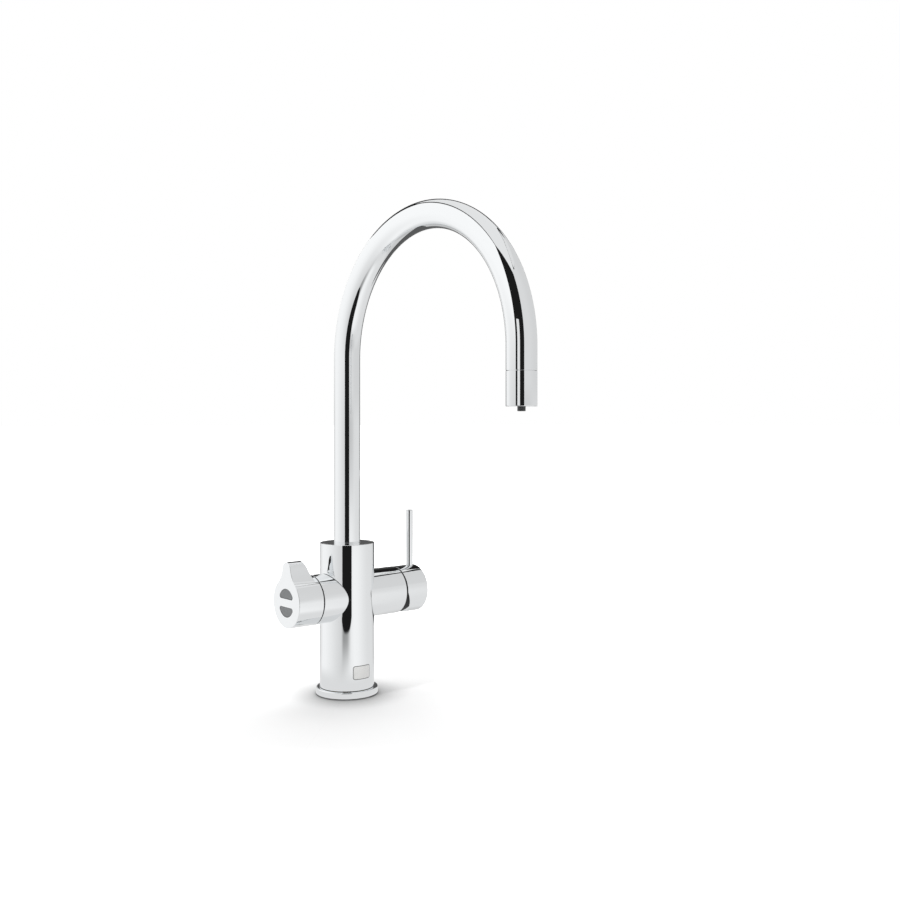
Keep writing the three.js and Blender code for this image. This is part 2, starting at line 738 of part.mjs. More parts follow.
const knobCoreFront = boardFront - BOARD_THICKNESS - FIT;
const leverScrewDistance = (shoulderEnd + spindleEnd) / 2;

function leverCollar() {
  const sleeve = ring(sleeveBore, leverRadius, 0, LEVER_SEAM - LEVER_SEAM_GAP / 2, LARGE_FACETS);
  return cut(sleeve, columnSaddle());
}

function leverCup() {
  const shank = CARRIER_SHANK_DIAMETER / 2;
  return turned([
    [cableRadius, CARRIER_SHANK_START],
    [shank, CARRIER_SHANK_START],
    [shank, carrierBack],
    [carrierRadius, carrierBack],
    [carrierRadius, leverCupEnd],
    [leverCupBore, leverCupEnd],
    [leverCupBore, carrierFloorEnd],
    [cableRadius, carrierFloorEnd],
  ], MEDIUM_FACETS);
}

function sensorBoard() {
  const start = carrierFloorEnd + FIT;
  return ring(cableRadius, leverCupBore - FIT, start, start + BOARD_THICKNESS, MEDIUM_FACETS);
}

function leverBush() {
  return ring(spindleRadius + FIT, leverCupBore - FIT, bushStart, bushEnd, MEDIUM_FACETS);
}

function leverSpindle() {
  const shoulder = SPINDLE_SHOULDER_DIAMETER / 2;
  const tenon = SPINDLE_TENON_DIAMETER / 2;
  const groove = spindleRadius - CIRCLIP_GROOVE_DEPTH;
  return turned([
    [cableRadius, spindleStart],
    [spindleRadius, spindleStart],
    [spindleRadius, circlipStart - FIT / 2],
    [groove, circlipStart - FIT / 2],
    [groove, circlipEnd + FIT / 2],
    [spindleRadius, circlipEnd + FIT / 2],
    [spindleRadius, shoulderStart],
    [shoulder, shoulderStart],
    [shoulder, shoulderEnd],
    [tenon, shoulderEnd],
    [tenon, spindleEnd],
    [cableRadius, spindleEnd],
  ], MEDIUM_FACETS);
}

function spindleCirclip() {
  const inner = spindleRadius - CIRCLIP_GROOVE_DEPTH + FIT / 2;
  const clip = ring(inner, CIRCLIP_DIAMETER / 2, circlipStart, circlipEnd, MEDIUM_FACETS);
  const opening = box(CIRCLIP_DIAMETER, CIRCLIP_OPENING, 2 * CIRCLIP_THICKNESS);
  return cut(clip, opening.translate(CIRCLIP_DIAMETER / 2, 0, (circlipStart + circlipEnd) / 2));
}

function sensorMagnet() {
  const end = spindleStart - FIT;
  return ring(cableRadius, spindleRadius, end - MAGNET_LENGTH, end, MEDIUM_FACETS);
}

// The drop-shaped blade above the barrel: two hollow flanks that run into a round tip.
function leverBlade() {
  const tipCentre = LEVER_TIP_HEIGHT - LEVER_TIP_RADIUS;
  const toBarrel = leverRadius + LEVER_SHOULDER_RADIUS;
  const toTip = LEVER_TIP_RADIUS + LEVER_SHOULDER_RADIUS;
  const flankX = (toBarrel ** 2 - toTip ** 2 + tipCentre ** 2) / (2 * tipCentre);
  const flankY = Math.sqrt(toBarrel ** 2 - flankX ** 2);
  const barrelAngle = Math.atan2(flankY, -flankX);
  const tipAngle = Math.atan2(flankY, tipCentre - flankX);
  const shape = new THREE.Shape();
  shape.absarc(flankX, -flankY, LEVER_SHOULDER_RADIUS, barrelAngle, tipAngle, true);
  shape.absarc(tipCentre, 0, LEVER_TIP_RADIUS, tipAngle - Math.PI, Math.PI - tipAngle, false);
  shape.absarc(flankX, flankY, LEVER_SHOULDER_RADIUS, -tipAngle, -barrelAngle, true);
  shape.closePath();
  const blade = closedMesh(new THREE.ExtrudeGeometry(shape, {
    depth: LEVER_FACE - leverBack,
    bevelThickness: LEVER_EDGE,
    bevelSize: LEVER_EDGE,
    bevelOffset: -LEVER_EDGE,
    bevelSegments: 1,
    curveSegments: LEVER_CURVE_STEPS,
  })).translate(0, 0, leverBack - LEVER_EDGE);
  const size = CUTTER_SPAN * LEVER_DIAMETER;
  const behind = box(size, size, size).translate(0, 0, leverBack - size / 2);
  const slopeRun = (LEVER_TIP_HEIGHT - leverRadius) * Math.tan(degrees(LEVER_SLOPE));
  const slopeStart = LEVER_FACE - LEVER_TIP_THICKNESS - slopeRun;
  const slope = box(size, size, size).translate(0, 0, -size / 2);
  slope.rotateY(-degrees(LEVER_SLOPE)).translate(leverRadius, 0, slopeStart);
  return cut(blade, behind, slope);
}

// A half-moon with rounded corners: flat side towards the axis, round side away from it.
function halfMoon(radius, flat, corner) {
  const cornerX = flat + corner;
  const cornerY = Math.sqrt((radius - corner) ** 2 - cornerX ** 2);
  const meet = Math.atan2(cornerY, cornerX);
  const shape = new THREE.Shape();
  shape.absarc(cornerX, -cornerY, corner, -Math.PI, -meet, false);
  shape.absarc(0, 0, radius, -meet, meet, false);
  shape.absarc(cornerX, cornerY, corner, meet, Math.PI, false);
  shape.closePath();
  return shape;
}

function buttonOutline(margin) {
  return halfMoon(BUTTON_RADIUS + margin, BUTTON_SPACING / 2 - margin, BUTTON_CORNER + margin);
}

function button(turn) {
  const face = LEVER_FACE - BUTTON_RECESS;
  const body = extruded(buttonOutline(0), flangeFront - FIT, face, BUTTON_CURVE_STEPS);
  const rim = buttonOutline(BUTTON_FLANGE_WIDTH);
  const flange = extruded(rim, flangeBack, flangeFront, BUTTON_CURVE_STEPS);
  return join(body, flange).rotateZ(turn);
}

// A radial hole on the underside of a side unit, for the grub screw that grips its shaft.
function undersideHole(distance, reach) {
  const hole = disc(grubRadius + FIT, 0, reach, SMALL_FACETS);
  return hole.rotateY(-Math.PI / 2).translate(0, 0, distance);
}

function leverKnob() {
  const barrel = turned([
    [0, leverBack],
    [leverRadius, leverBack],
    [leverRadius, LEVER_FACE - LEVER_EDGE],
    [leverRadius - LEVER_EDGE, LEVER_FACE],
    [0, LEVER_FACE],
  ], LARGE_FACETS);
  const cavity = disc(leverRadius - LEVER_WALL, leverBack - 1, leverCavityEnd, MEDIUM_FACETS);
  const opening = buttonOutline(BUTTON_CLEARANCE);
  const window = extruded(opening, leverCavityEnd - 1, LEVER_FACE + 1, BUTTON_CURVE_STEPS);
  const otherWindow = window.clone().rotateZ(Math.PI);
  const screwHole = undersideHole(leverScrewDistance, LEVER_DIAMETER);
  return cut(join(barrel, leverBlade()), cavity, window, otherWindow, screwHole);
}

function knobCore() {
  const core = turned([
    [SPINDLE_TENON_DIAMETER / 2 + FIT, shoulderEnd + FIT],
    [leverRadius - LEVER_WALL - FIT, shoulderEnd + FIT],
    [leverRadius - LEVER_WALL - FIT, knobCoreFront],
    [cableRadius, knobCoreFront],
    [cableRadius, spindleEnd + FIT],
    [SPINDLE_TENON_DIAMETER / 2 + FIT, spindleEnd + FIT],
  ], MEDIUM_FACETS);
  return cut(core, undersideHole(leverScrewDistance, LEVER_DIAMETER));
}

function buttonBoard() {
  const radius = leverRadius - LEVER_WALL - FIT;
  return ring(cableRadius, radius, boardFront - BOARD_THICKNESS, boardFront, MEDIUM_FACETS);
}

function buttonMat() {
  return disc(leverRadius - LEVER_WALL - FIT, matFront - MAT_THICKNESS, matFront, MEDIUM_FACETS);
}

function grubScrew(distance, tip, head) {
  const screw = disc(grubRadius, tip, head, SMALL_FACETS);
  return cut(screw, hexSocket(grubRadius, head)).rotateY(-Math.PI / 2).translate(0, 0, distance);
}

function leverUnit() {
  const group = sideGroup(-1);
  const tenonSurface = SPINDLE_TENON_DIAMETER / 2 + FIT;
  group.add(
    piece('lever_collar', leverCollar(), chrome),
    piece('lever_cup', leverCup(), brass),
    piece('sensor_board', sensorBoard(), greenBoard),
    piece('lever_bush', leverBush(), whitePlastic),
    piece('lever_spindle', leverSpindle(), brass),
    piece('spindle_circlip', spindleCirclip(), steel),
    piece('sensor_magnet', sensorMagnet(), magnetGrey),
    piece('lever_knob', leverKnob(), chrome),
    piece('knob_core', knobCore(), blackPlastic),
    piece('button_board', buttonBoard(), greenBoard),
    piece('button_mat', buttonMat(), rubber),
    piece('upper_button', button(0), buttonPlastic),
    piece('lower_button', button(Math.PI), buttonPlastic),
    piece('knob_grub_screw', grubScrew(leverScrewDistance, tenonSurface, leverRadius - 2 * FIT), steel),
  );
  return group;
}

// ---------------------------------------------------------------- mixer unit

const mixerRadius = MIXER_DIAMETER / 2;
const cupEnd = carrierBack + MIXER_CUP_LENGTH;
const sealStart = carrierFloorEnd + FIT;
const cartridgeStart = sealStart + CARTRIDGE_SEAL_THICKNESS + FIT;
const cartridgeShoulder = cartridgeStart + CARTRIDGE_LENGTH;
const cartridgeTop = cartridgeShoulder + CARTRIDGE_NECK_LENGTH;
const cartridgeRadius = CARTRIDGE_DIAMETER / 2;
const nutStart = cartridgeShoulder + FIT;
const nutEnd = nutStart + CARTRIDGE_NUT_LENGTH;
const rotorRadius = ROTOR_DIAMETER / 2;
const rotorBoreStart = cartridgeTop - CARTRIDGE_BORE_DEPTH;
const rotorEnd = MIXER_SEAM + ROTOR_OVERHANG;
const capRim = MIXER_SEAM + MIXER_SEAM_GAP / 2;
const capScrewDistance = STEM_END - CAP_SCREW_SETBACK;

function mixerHousing() {
  const sleeve = ring(sleeveBore, mixerRadius, 0, MIXER_SEAM - MIXER_SEAM_GAP / 2, LARGE_FACETS);
  return cut(sleeve, columnSaddle());
}

function cartridgeCup() {
  const shank = CARRIER_SHANK_DIAMETER / 2;
  const cup = turned([
    [0, CARRIER_SHANK_START],
    [shank, CARRIER_SHANK_START],
    [shank, carrierBack],
    [carrierRadius, carrierBack],
    [carrierRadius, cupEnd],
    [CARTRIDGE_NUT_DIAMETER / 2 + FIT, cupEnd],
    [CARTRIDGE_NUT_DIAMETER / 2 + FIT, cartridgeShoulder],
    [cartridgeRadius + FIT, cartridgeShoulder],
    [cartridgeRadius + FIT, carrierFloorEnd],
    [0, carrierFloorEnd],
  ], MEDIUM_FACETS);
  const waterways = Array.from({ length: WATERWAY_COUNT }, (_, i) => {
    const way = disc(WATERWAY_DIAMETER / 2, 0, cupEnd, SMALL_FACETS);
    way.translate(CARRIER_SHANK_DIAMETER / 4, 0, 0);
    return way.rotateZ(2 * Math.PI * i / WATERWAY_COUNT);
  });
  return cut(cup, ...waterways);
}

function cartridgeSeal() {
  const outer = cartridgeRadius - FIT;
  const end = sealStart + CARTRIDGE_SEAL_THICKNESS;
  return ring(outer - CARTRIDGE_SEAL_WIDTH, outer, sealStart, end, MEDIUM_FACETS);
}

function cartridgeBody() {
  return turned([
    [0, cartridgeStart],
    [cartridgeRadius, cartridgeStart],
    [cartridgeRadius, cartridgeShoulder],
    [CARTRIDGE_NECK_DIAMETER / 2, cartridgeShoulder],
    [CARTRIDGE_NECK_DIAMETER / 2, cartridgeTop],
    [rotorRadius + FIT, cartridgeTop],
    [rotorRadius + FIT, rotorBoreStart],
    [0, rotorBoreStart],
  ], MEDIUM_FACETS);
}

function cartridgeNut() {
  const inner = CARTRIDGE_NECK_DIAMETER / 2 + FIT;
  const nut = ring(inner, CARTRIDGE_NUT_DIAMETER / 2, nutStart, nutEnd, MEDIUM_FACETS);
  const notches = Array.from({ length: CARTRIDGE_NUT_NOTCHES }, (_, i) => {
    const notch = box(CARTRIDGE_NUT_NOTCH_WIDTH, CARTRIDGE_NUT_NOTCH_WIDTH, CARTRIDGE_NUT_LENGTH);
    notch.translate(CARTRIDGE_NUT_DIAMETER / 2, 0, nutEnd);
    return notch.rotateZ(2 * Math.PI * i / CARTRIDGE_NUT_NOTCHES);
  });
  return cut(nut, ...notches);
}

function pivotBore() {
  const reach = 2 * ROTOR_DIAMETER;
  const bore = disc(PIVOT_PIN_DIAMETER / 2 + FIT, -reach, reach, SMALL_FACETS);
  return bore.rotateX(-Math.PI / 2).translate(0, 0, MIXER_SEAM);
}

function cartridgeRotor() {
  const rotor = disc(rotorRadius, rotorBoreStart + FIT, rotorEnd, MEDIUM_FACETS);
  const slotLength = rotorEnd - ROTOR_SLOT_START + 1;
  const slot = box(2 * ROTOR_DIAMETER, ROTOR_SLOT_WIDTH, slotLength);
  return cut(rotor, slot.translate(0, 0, ROTOR_SLOT_START + slotLength / 2), pivotBore());
}

function stemPivotPin() {
  const half = rotorRadius - FIT;
  const pin = disc(PIVOT_PIN_DIAMETER / 2, -half, half, SMALL_FACETS);
  return pin.rotateX(-Math.PI / 2).translate(0, 0, MIXER_SEAM);
}

function cartridgeStem() {
  const width = ROTOR_SLOT_WIDTH - 2 * FIT;
  const length = STEM_END - STEM_FOOT_END;
  const shaft = box(STEM_DEPTH, width, length).translate(0, 0, STEM_FOOT_END + length / 2);
  const footLength = STEM_FOOT_END + 1 - STEM_FOOT_START;
  const foot = box(STEM_FOOT_DEPTH, width, footLength);
  return cut(join(shaft, foot.translate(0, 0, STEM_FOOT_START + footLength / 2)), pivotBore());
}

// The dark dome round the pivot: it closes the gap that opens when the handle tilts.
function mixerDome() {
  const outer = DOME_DIAMETER / 2;
  const inner = outer - DOME_WALL;
  const window = 90 - DOME_WINDOW_ANGLE;
  return turned([
    [outer, cupEnd + FIT],
    ...arcPoints(0, MIXER_SEAM, outer, 0, window, DOME_STEPS),
    ...arcPoints(0, MIXER_SEAM, inner, window, 0, DOME_STEPS),
    [inner, cupEnd + FIT],
  ], MEDIUM_FACETS);
}

function mixerCap() {
  const cap = turned([
    [0, capRim],
    [mixerRadius, capRim],
    ...roundedCorner(mixerRadius, MIXER_END, MIXER_EDGE),
    [0, MIXER_END],
  ], LARGE_FACETS);
  const cavityRadius = DOME_DIAMETER / 2 + RUNNING_FIT;
  const cavityOutline = arcPoints(0, MIXER_SEAM, cavityRadius, -90, 90, 4 * DOME_STEPS);
  const cavity = turned(cavityOutline, MEDIUM_FACETS);
  const size = CUTTER_SPAN * MIXER_DIAMETER;
  const wedge = box(size, size, size).translate(0, 0, -size / 2);
  wedge.rotateY(degrees(TILT_WEDGE)).translate(0, 0, capRim);
  const socketLength = STEM_END + FIT - STEM_SOCKET_START;
  const socket = box(STEM_DEPTH + 2 * FIT, ROTOR_SLOT_WIDTH, socketLength);
  socket.translate(0, 0, STEM_SOCKET_START + socketLength / 2);
  const pinHole = disc(PIN_DIAMETER / 2 + FIT, PIN_ROOT - FIT, MIXER_DIAMETER, SMALL_FACETS);
  pinHole.rotateY(Math.PI / 2).translate(0, 0, PIN_DISTANCE);
  const screwHole = undersideHole(capScrewDistance, MIXER_DIAMETER);
  return cut(cap, cavity, wedge, socket, pinHole, screwHole);
}

function pinLever() {
  const radius = PIN_DIAMETER / 2;
  return turned([
    [0, PIN_ROOT],
    [radius, PIN_ROOT],
    ...roundedCorner(radius, PIN_TOP, PIN_EDGE),
    [0, PIN_TOP],
  ], MEDIUM_FACETS).rotateY(Math.PI / 2).translate(0, 0, PIN_DISTANCE);
}

function mixerUnit() {
  const group = sideGroup(1);
  const stemSurface = STEM_DEPTH / 2 + FIT;
  group.add(
    piece('mixer_housing', mixerHousing(), chrome),
    piece('cartridge_cup', cartridgeCup(), brass),
    piece('cartridge_seal', cartridgeSeal(), rubber),
    piece('cartridge_body', cartridgeBody(), whitePlastic),
    piece('cartridge_nut', cartridgeNut(), brass),
    piece('mixer_dome', mixerDome(), blackPlastic),
    piece('cartridge_rotor', cartridgeRotor(), whitePlastic),
    piece('stem_pivot_pin', stemPivotPin(), steel),
    piece('cartridge_stem', cartridgeStem(), steel),
    piece('mixer_cap', mixerCap(), chrome),
    piece('pin_lever', pinLever(), chrome),
    piece('cap_grub_screw', grubScrew(capScrewDistance, stemSurface, mixerRadius - 2 * FIT), steel),
  );
  return group;
}

// ---------------------------------------------------------------- the whole tap

const tap = new THREE.Group();
tap.add(
  piece('base_ring', baseRing(), chrome),
  piece('base_gasket', baseGasket(), rubber),
  piece('column_shell', columnShell(), chrome),
  piece('column_cap', columnCap(), chrome),
  piece('valve_body', valveBody(), brass),
  piece('cable_grommet', cableGrommet(), rubber),
  piece('spout_stop_screw', stopScrew(), steel),
  piece('mounting_stud', mountingStud(), steel),
  piece('clamp_washer', clampWasher(), rubber),
  piece('clamp_plate', clampPlate(), steel),
  piece('clamp_nut', clampNut(), brass),
  spout(),
  leverUnit(),
  mixerUnit(),
);

export default tap;
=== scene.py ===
"""The looks of a chrome single-column tap for boiling, chilled and mixed water.

Shapes are written in millimetres in the part's own frame: +Z up, the spout towards -Y, the
filtered-water lever on -X and the mixer handle on +X. The scene's own units are metres.
"""

import math

import bmesh
import bpy
from mathutils import Matrix, Vector


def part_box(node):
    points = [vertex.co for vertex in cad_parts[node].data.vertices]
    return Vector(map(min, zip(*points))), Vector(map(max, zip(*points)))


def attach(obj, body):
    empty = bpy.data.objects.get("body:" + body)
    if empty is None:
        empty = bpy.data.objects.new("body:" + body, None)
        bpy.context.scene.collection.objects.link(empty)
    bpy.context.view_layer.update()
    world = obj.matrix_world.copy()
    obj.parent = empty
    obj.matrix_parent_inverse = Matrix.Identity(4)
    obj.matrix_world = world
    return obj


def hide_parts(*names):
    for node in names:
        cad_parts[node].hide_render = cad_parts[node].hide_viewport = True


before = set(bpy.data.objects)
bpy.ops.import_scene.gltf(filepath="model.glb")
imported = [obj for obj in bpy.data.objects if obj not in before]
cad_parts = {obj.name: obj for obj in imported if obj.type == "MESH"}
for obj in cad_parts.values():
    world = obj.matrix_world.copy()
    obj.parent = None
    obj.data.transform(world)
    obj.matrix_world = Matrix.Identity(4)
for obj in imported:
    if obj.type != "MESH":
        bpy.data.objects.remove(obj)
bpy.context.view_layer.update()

MM = 0.001
MICRON = 0.000001

# ---------------------------------------------------------------- sizes, in millimetres

FIT = 0.3  # clearance between neighbouring pieces
TURN_STEPS = 144
FILLET_STEPS = 5
FILLET_SHARE = 0.45  # of a side's length, the most that a fillet at its end may take
SHARP_ANGLE = 38  # degrees: edges sharper than this keep a crisp line
MERGE_DISTANCE = 1e-4
MITRE_LIMIT = 0.3


def reach_of(node, axis, side):
    """How far a node reaches along an axis: side 0 is its low end, side 1 its high end."""
    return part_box(node)[side][axis] / MM


def middle_of(node, axis):
    return (reach_of(node, axis, 0) + reach_of(node, axis, 1)) / 2


def heights_of(node):
    return [reach_of(node, 2, side) for side in (0, 1)]


COLUMN_RADIUS = reach_of("column_shell", 0, 1)
COLUMN_BORE = 20.6
COLUMN_FOOT, COLUMN_TOP = heights_of("column_shell")
CAP_BOTTOM = reach_of("column_cap", 2, 0)
RING_RADIUS = reach_of("base_ring", 0, 1)
RING_HEIGHT = reach_of("base_ring", 2, 1)
RING_FOOT_EDGE = 0.4
RING_EDGE = 1.0
COLUMN_FOOT_EDGE = 0.25
COLUMN_EDGE = 0.5
CAP_EDGE = 0.35
THIN_EDGE = 0.2
SHANK_HOLE_RADIUS = 9.3

TUBE_RADIUS = reach_of("spout_tube", 0, 1)
TUBE_BORE = 9.5
TUBE_FOOT = reach_of("spout_tube", 2, 0)
NOZZLE_BOTTOM = reach_of("nozzle_shell", 2, 0)
NOZZLE_Y = middle_of("nozzle_shell", 1)
ARCH_RADIUS = -NOZZLE_Y / 2
ARCH_CENTRE = reach_of("spout_tube", 2, 1) - ARCH_RADIUS - TUBE_RADIUS
NOZZLE_SEAM = 265.2
NOZZLE_WALL = 1.3
SEAM_GAP = 0.25
SEAM_CHAMFER = 0.12
O_RING_SLACK = 0.1  # keeps the turning rings clear of their socket's facets
ARCH_STEPS = 120
TUBE_STEPS = 72

HANDLE_HEIGHT = middle_of("mixer_housing", 2)
SLEEVE_BORE = 17.6
LEVER_RADIUS = reach_of("lever_collar", 1, 1)
LEVER_COLLAR_END = -reach_of("lever_collar", 0, 0)
LEVER_BACK = -reach_of("lever_knob", 0, 1)
LEVER_FACE = -reach_of("lever_knob", 0, 0)
LEVER_TIP_RADIUS = 6.3
LEVER_TIP_CENTRE = reach_of("lever_knob", 2, 1) - HANDLE_HEIGHT - LEVER_TIP_RADIUS
LEVER_SHOULDER_RADIUS = 20
LEVER_TIP_THICKNESS = 13.5
LEVER_SLOPE = 23
LEVER_FRONT_WALL = 2.6
LEVER_EDGE = 0.5
LEVER_CAVITY_RADIUS = 17.5
BLADE_STEPS = 20
BARREL_STEPS = 56
COLLAR_CLEARANCE = 0.75
LEVER_SEAM = 0.35  # how far the collar's end is drawn back from the lever
SEAL_AND_SHADE_DEPTH = 0.45  # how far the black seals lie below the chrome; their black is also painted shade for the seams
BUTTON_RADIUS = 11.4
BUTTON_FLAT = 3.5
BUTTON_CORNER = 1.8
BUTTON_RECESS = 0.2
BUTTON_DEPTH = 3.9
BUTTON_EDGE = 0.35
BUTTON_CLEARANCE = 0.2
BUTTON_STEPS = 28
BUTTON_CORNER_STEPS = 7

MIXER_RADIUS = reach_of("mixer_housing", 1, 1)
MIXER_SEAM = 49.4
HOUSING_BITE = -0.2  # the housing runs this far into the column's wall
MIXER_HOUSING_END = reach_of("mixer_housing", 0, 1)
MIXER_RIM = reach_of("mixer_cap", 0, 0)
MIXER_END = reach_of("mixer_cap", 0, 1)
MIXER_EDGE = 1.0
DOME_RADIUS = reach_of("mixer_dome", 1, 1)
DOME_WALL = 1.2
DOME_WINDOW = 53  # degrees up from the seam at which the dome's round window starts
GAITER_RADIUS = MIXER_RADIUS - 0.4
GAITER_THICKNESS = 0.8
GAITER_REACH = (3, 30)  # degrees past the seam: above the axis, and in the wedge below it
TILT_WEDGE = 20
MIXER_SEAM_BACK = 0.45  # how far both chrome rims are drawn back from the seam
PIN_DISTANCE = middle_of("pin_lever", 0)
PIN_TOP = reach_of("pin_lever", 2, 1) - HANDLE_HEIGHT
PIN_RADIUS = 3
PIN_EDGE = 0.45

# ---------------------------------------------------------------- mesh building


def filleted(corners, closed=True):
    """Outline points from (x, y, fillet radius) corners; each fillet is tangent to both its sides."""
    points = []
    count = len(corners)
    for i, (x, y, fillet) in enumerate(corners):
        here = Vector((x, y))
        at_end = not closed and i in (0, count - 1)
        if not fillet or at_end:
            points.append(tuple(here))
            continue
        back = Vector(corners[i - 1][:2]) - here
        ahead = Vector(corners[(i + 1) % count][:2]) - here
        if min(back.length, ahead.length) < MERGE_DISTANCE:
            points.extend([tuple(here)] * (FILLET_STEPS + 1))
            continue
        half = back.angle(ahead) / 2
        reach = min(fillet / math.tan(half), FILLET_SHARE * min(back.length, ahead.length))
        centre = here + (back.normalized() + ahead.normalized()).normalized() * reach / math.cos(half)
        start = here + back.normalized() * reach - centre
        end = here + ahead.normalized() * reach - centre
        turn = start.angle_signed(end)
        for step in range(FILLET_STEPS + 1):
            arm = start.copy()
            arm.rotate(Matrix.Rotation(-turn * step / FILLET_STEPS, 2))
            points.append(tuple(centre + arm))
    return points


def smooth(value, low, high):
    """Eases from 0 at the low value to 1 at the high one."""
    t = min(1.0, max(0.0, (value - low) / (high - low)))
    return t * t * (3 - 2 * t)


def mixed(low, high, share):
    return low + (high - low) * share


def stepped(low, high, steps):
    return [mixed(low, high, i / steps) for i in range(steps + 1)]


def even_angles(steps=TURN_STEPS):
    return [math.tau * i / steps for i in range(steps)]


def revolved(profile, angles=None):
    """A closed solid round local Z. The profile lists (radius, height) points, or is a function of the
    angle that does. It runs from the axis back to the axis, or round a ring to where it started."""
    outline = profile if callable(profile) else lambda angle: profile
    mesh = bmesh.new()
    columns = []
    for angle in angles or even_angles():
        cosine, sine = math.cos(angle), math.sin(angle)
        points = outline(angle)
        columns.append([mesh.verts.new((r * cosine, r * sine, h)) for r, h in points])
    count = len(columns[0])
    on_axis = outline(0)[0][0] < MERGE_DISTANCE
    for column, following in zip(columns, columns[1:] + columns[:1]):
        for j in range(count - 1 if on_axis else count):
            k = (j + 1) % count
            mesh.faces.new((column[j], following[j], following[k], column[k]))
    bmesh.ops.remove_doubles(mesh, verts=mesh.verts, dist=MERGE_DISTANCE)
    bmesh.ops.recalc_face_normals(mesh, faces=mesh.faces)
    return mesh


def inset_outline(outline, inset):
    """A flat outline, counter-clockwise, with every side moved inward."""
    moved = []
    for i, (x, y) in enumerate(outline):
        here = Vector((x, y))
        along_in = (here - Vector(outline[i - 1])).normalized()
        along_out = (Vector(outline[(i + 1) % len(outline)]) - here).normalized()
        inward = Vector((-along_in.y - along_out.y, along_in.x + along_out.x)).normalized()
        mitre = max(MITRE_LIMIT, inward.dot(Vector((-along_in.y, along_in.x))))
        moved.append(tuple(here + inward * inset / mitre))
    return moved


def slab(outline, levels):
    """A plate with a flat outline; levels are (inset, height) pairs from its underside to its top."""
    mesh = bmesh.new()
    rings = []
    for inset, height in levels:
        rings.append([mesh.verts.new((x, y, height)) for x, y in inset_outline(outline, inset)])
    for lower, upper in zip(rings, rings[1:]):
        for i in range(len(lower)):
            j = (i + 1) % len(lower)
            mesh.faces.new((lower[i], lower[j], upper[j], upper[i]))
    mesh.faces.new(rings[0])
    mesh.faces.new(rings[-1])
    bmesh.ops.recalc_face_normals(mesh, faces=mesh.faces)
    return mesh


def rounded_levels(low, high, edge):
    """Levels for a slab whose two rims are rounded."""
    quarter = stepped(0, math.pi / 2, FILLET_STEPS)
    lower = [(edge - edge * math.sin(a), low + edge - edge * math.cos(a)) for a in quarter]
    upper = [(inset, low + high - height) for inset, height in reversed(lower)]
    return lower + upper


def arc(centre_x, centre_y, radius, start, end, steps):
    """Points along an arc; angles in radians."""
    angles = stepped(start, end, steps)
    return [(centre_x + radius * math.cos(a), centre_y + radius * math.sin(a)) for a in angles]


def loose_object(name, mesh):
    data = bpy.data.meshes.new(name)
    mesh.to_mesh(data)
    mesh.free()
    made = bpy.data.objects.new(name, data)
    bpy.context.scene.collection.objects.link(made)
    return made


def carved(mesh, *cutters):
    """The mesh with the space of the cutters taken out of it."""
    target = loose_object("target", mesh)
    tools = [loose_object("tool", cutter) for cutter in cutters]
    for tool in tools:
        cut = target.modifiers.new("cut", "BOOLEAN")
        cut.operation = "DIFFERENCE"
        cut.solver = "EXACT"
        cut.object = tool
    result = bmesh.new()
    result.from_object(target, bpy.context.evaluated_depsgraph_get())
    for made in [target] + tools:
        data = made.data
        bpy.data.objects.remove(made)
        bpy.data.meshes.remove(data)
    return result


def drill(radius, low, high, place=None, steps=TURN_STEPS // 2):
    """A plain round cutter."""
    mesh = revolved([(0, low), (radius, low), (radius, high), (0, high)], even_angles(steps))
    if place:
        mesh.transform(place)
    return mesh


def piece(name, mesh, finish, body, replaced=(), place=None):
    """Puts a mesh, in millimetres, into the scene as a piece that rides on a body."""
    mesh.transform(Matrix.Scale(MM, 4) @ (place or Matrix.Identity(4)))
    made = loose_object(name, mesh)
    made.data.shade_smooth()
    made.data.set_sharp_from_angle(angle=math.radians(SHARP_ANGLE))
    made.data.materials.append(FINISHES[finish])
    normals = made.modifiers.new("even_shading", "WEIGHTED_NORMAL")
    normals.keep_sharp = True
    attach(made, body)
    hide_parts(*replaced)
    return made


def side_place(sign):
    """Local Z runs outward along the given sign of X, and local X runs up."""
    across = -sign
    return Matrix(
        (
            (0, 0, sign, 0),
            (0, across, 0, 0),
            (1, 0, 0, HANDLE_HEIGHT),
            (0, 0, 0, 1),
        )
    )


LEVER_SIDE = side_place(-1)
MIXER_SIDE = side_place(1)
AT_NOZZLE = Matrix.Translation((0, NOZZLE_Y, 0))

# ---------------------------------------------------------------- finishes


def add_node(tree, kind, values=(), links=(), **settings):
    """A shader node with its settings, its sockets' values, and links from other nodes' outputs."""
    node = tree.nodes.new("ShaderNode" + kind)
    for name, value in settings.items():
        setattr(node, name, value)
    for socket, value in dict(values).items():
        node.inputs[socket].default_value = value
    for socket, source in dict(links).items():
        tree.links.new(source, node.inputs[socket])
    return node


def new_material(name):
    """A material, its node tree and the shader in it."""
    material = bpy.data.materials.new(name)
    material.use_nodes = True
    tree = material.node_tree
    return material, tree, tree.nodes["Principled BSDF"]


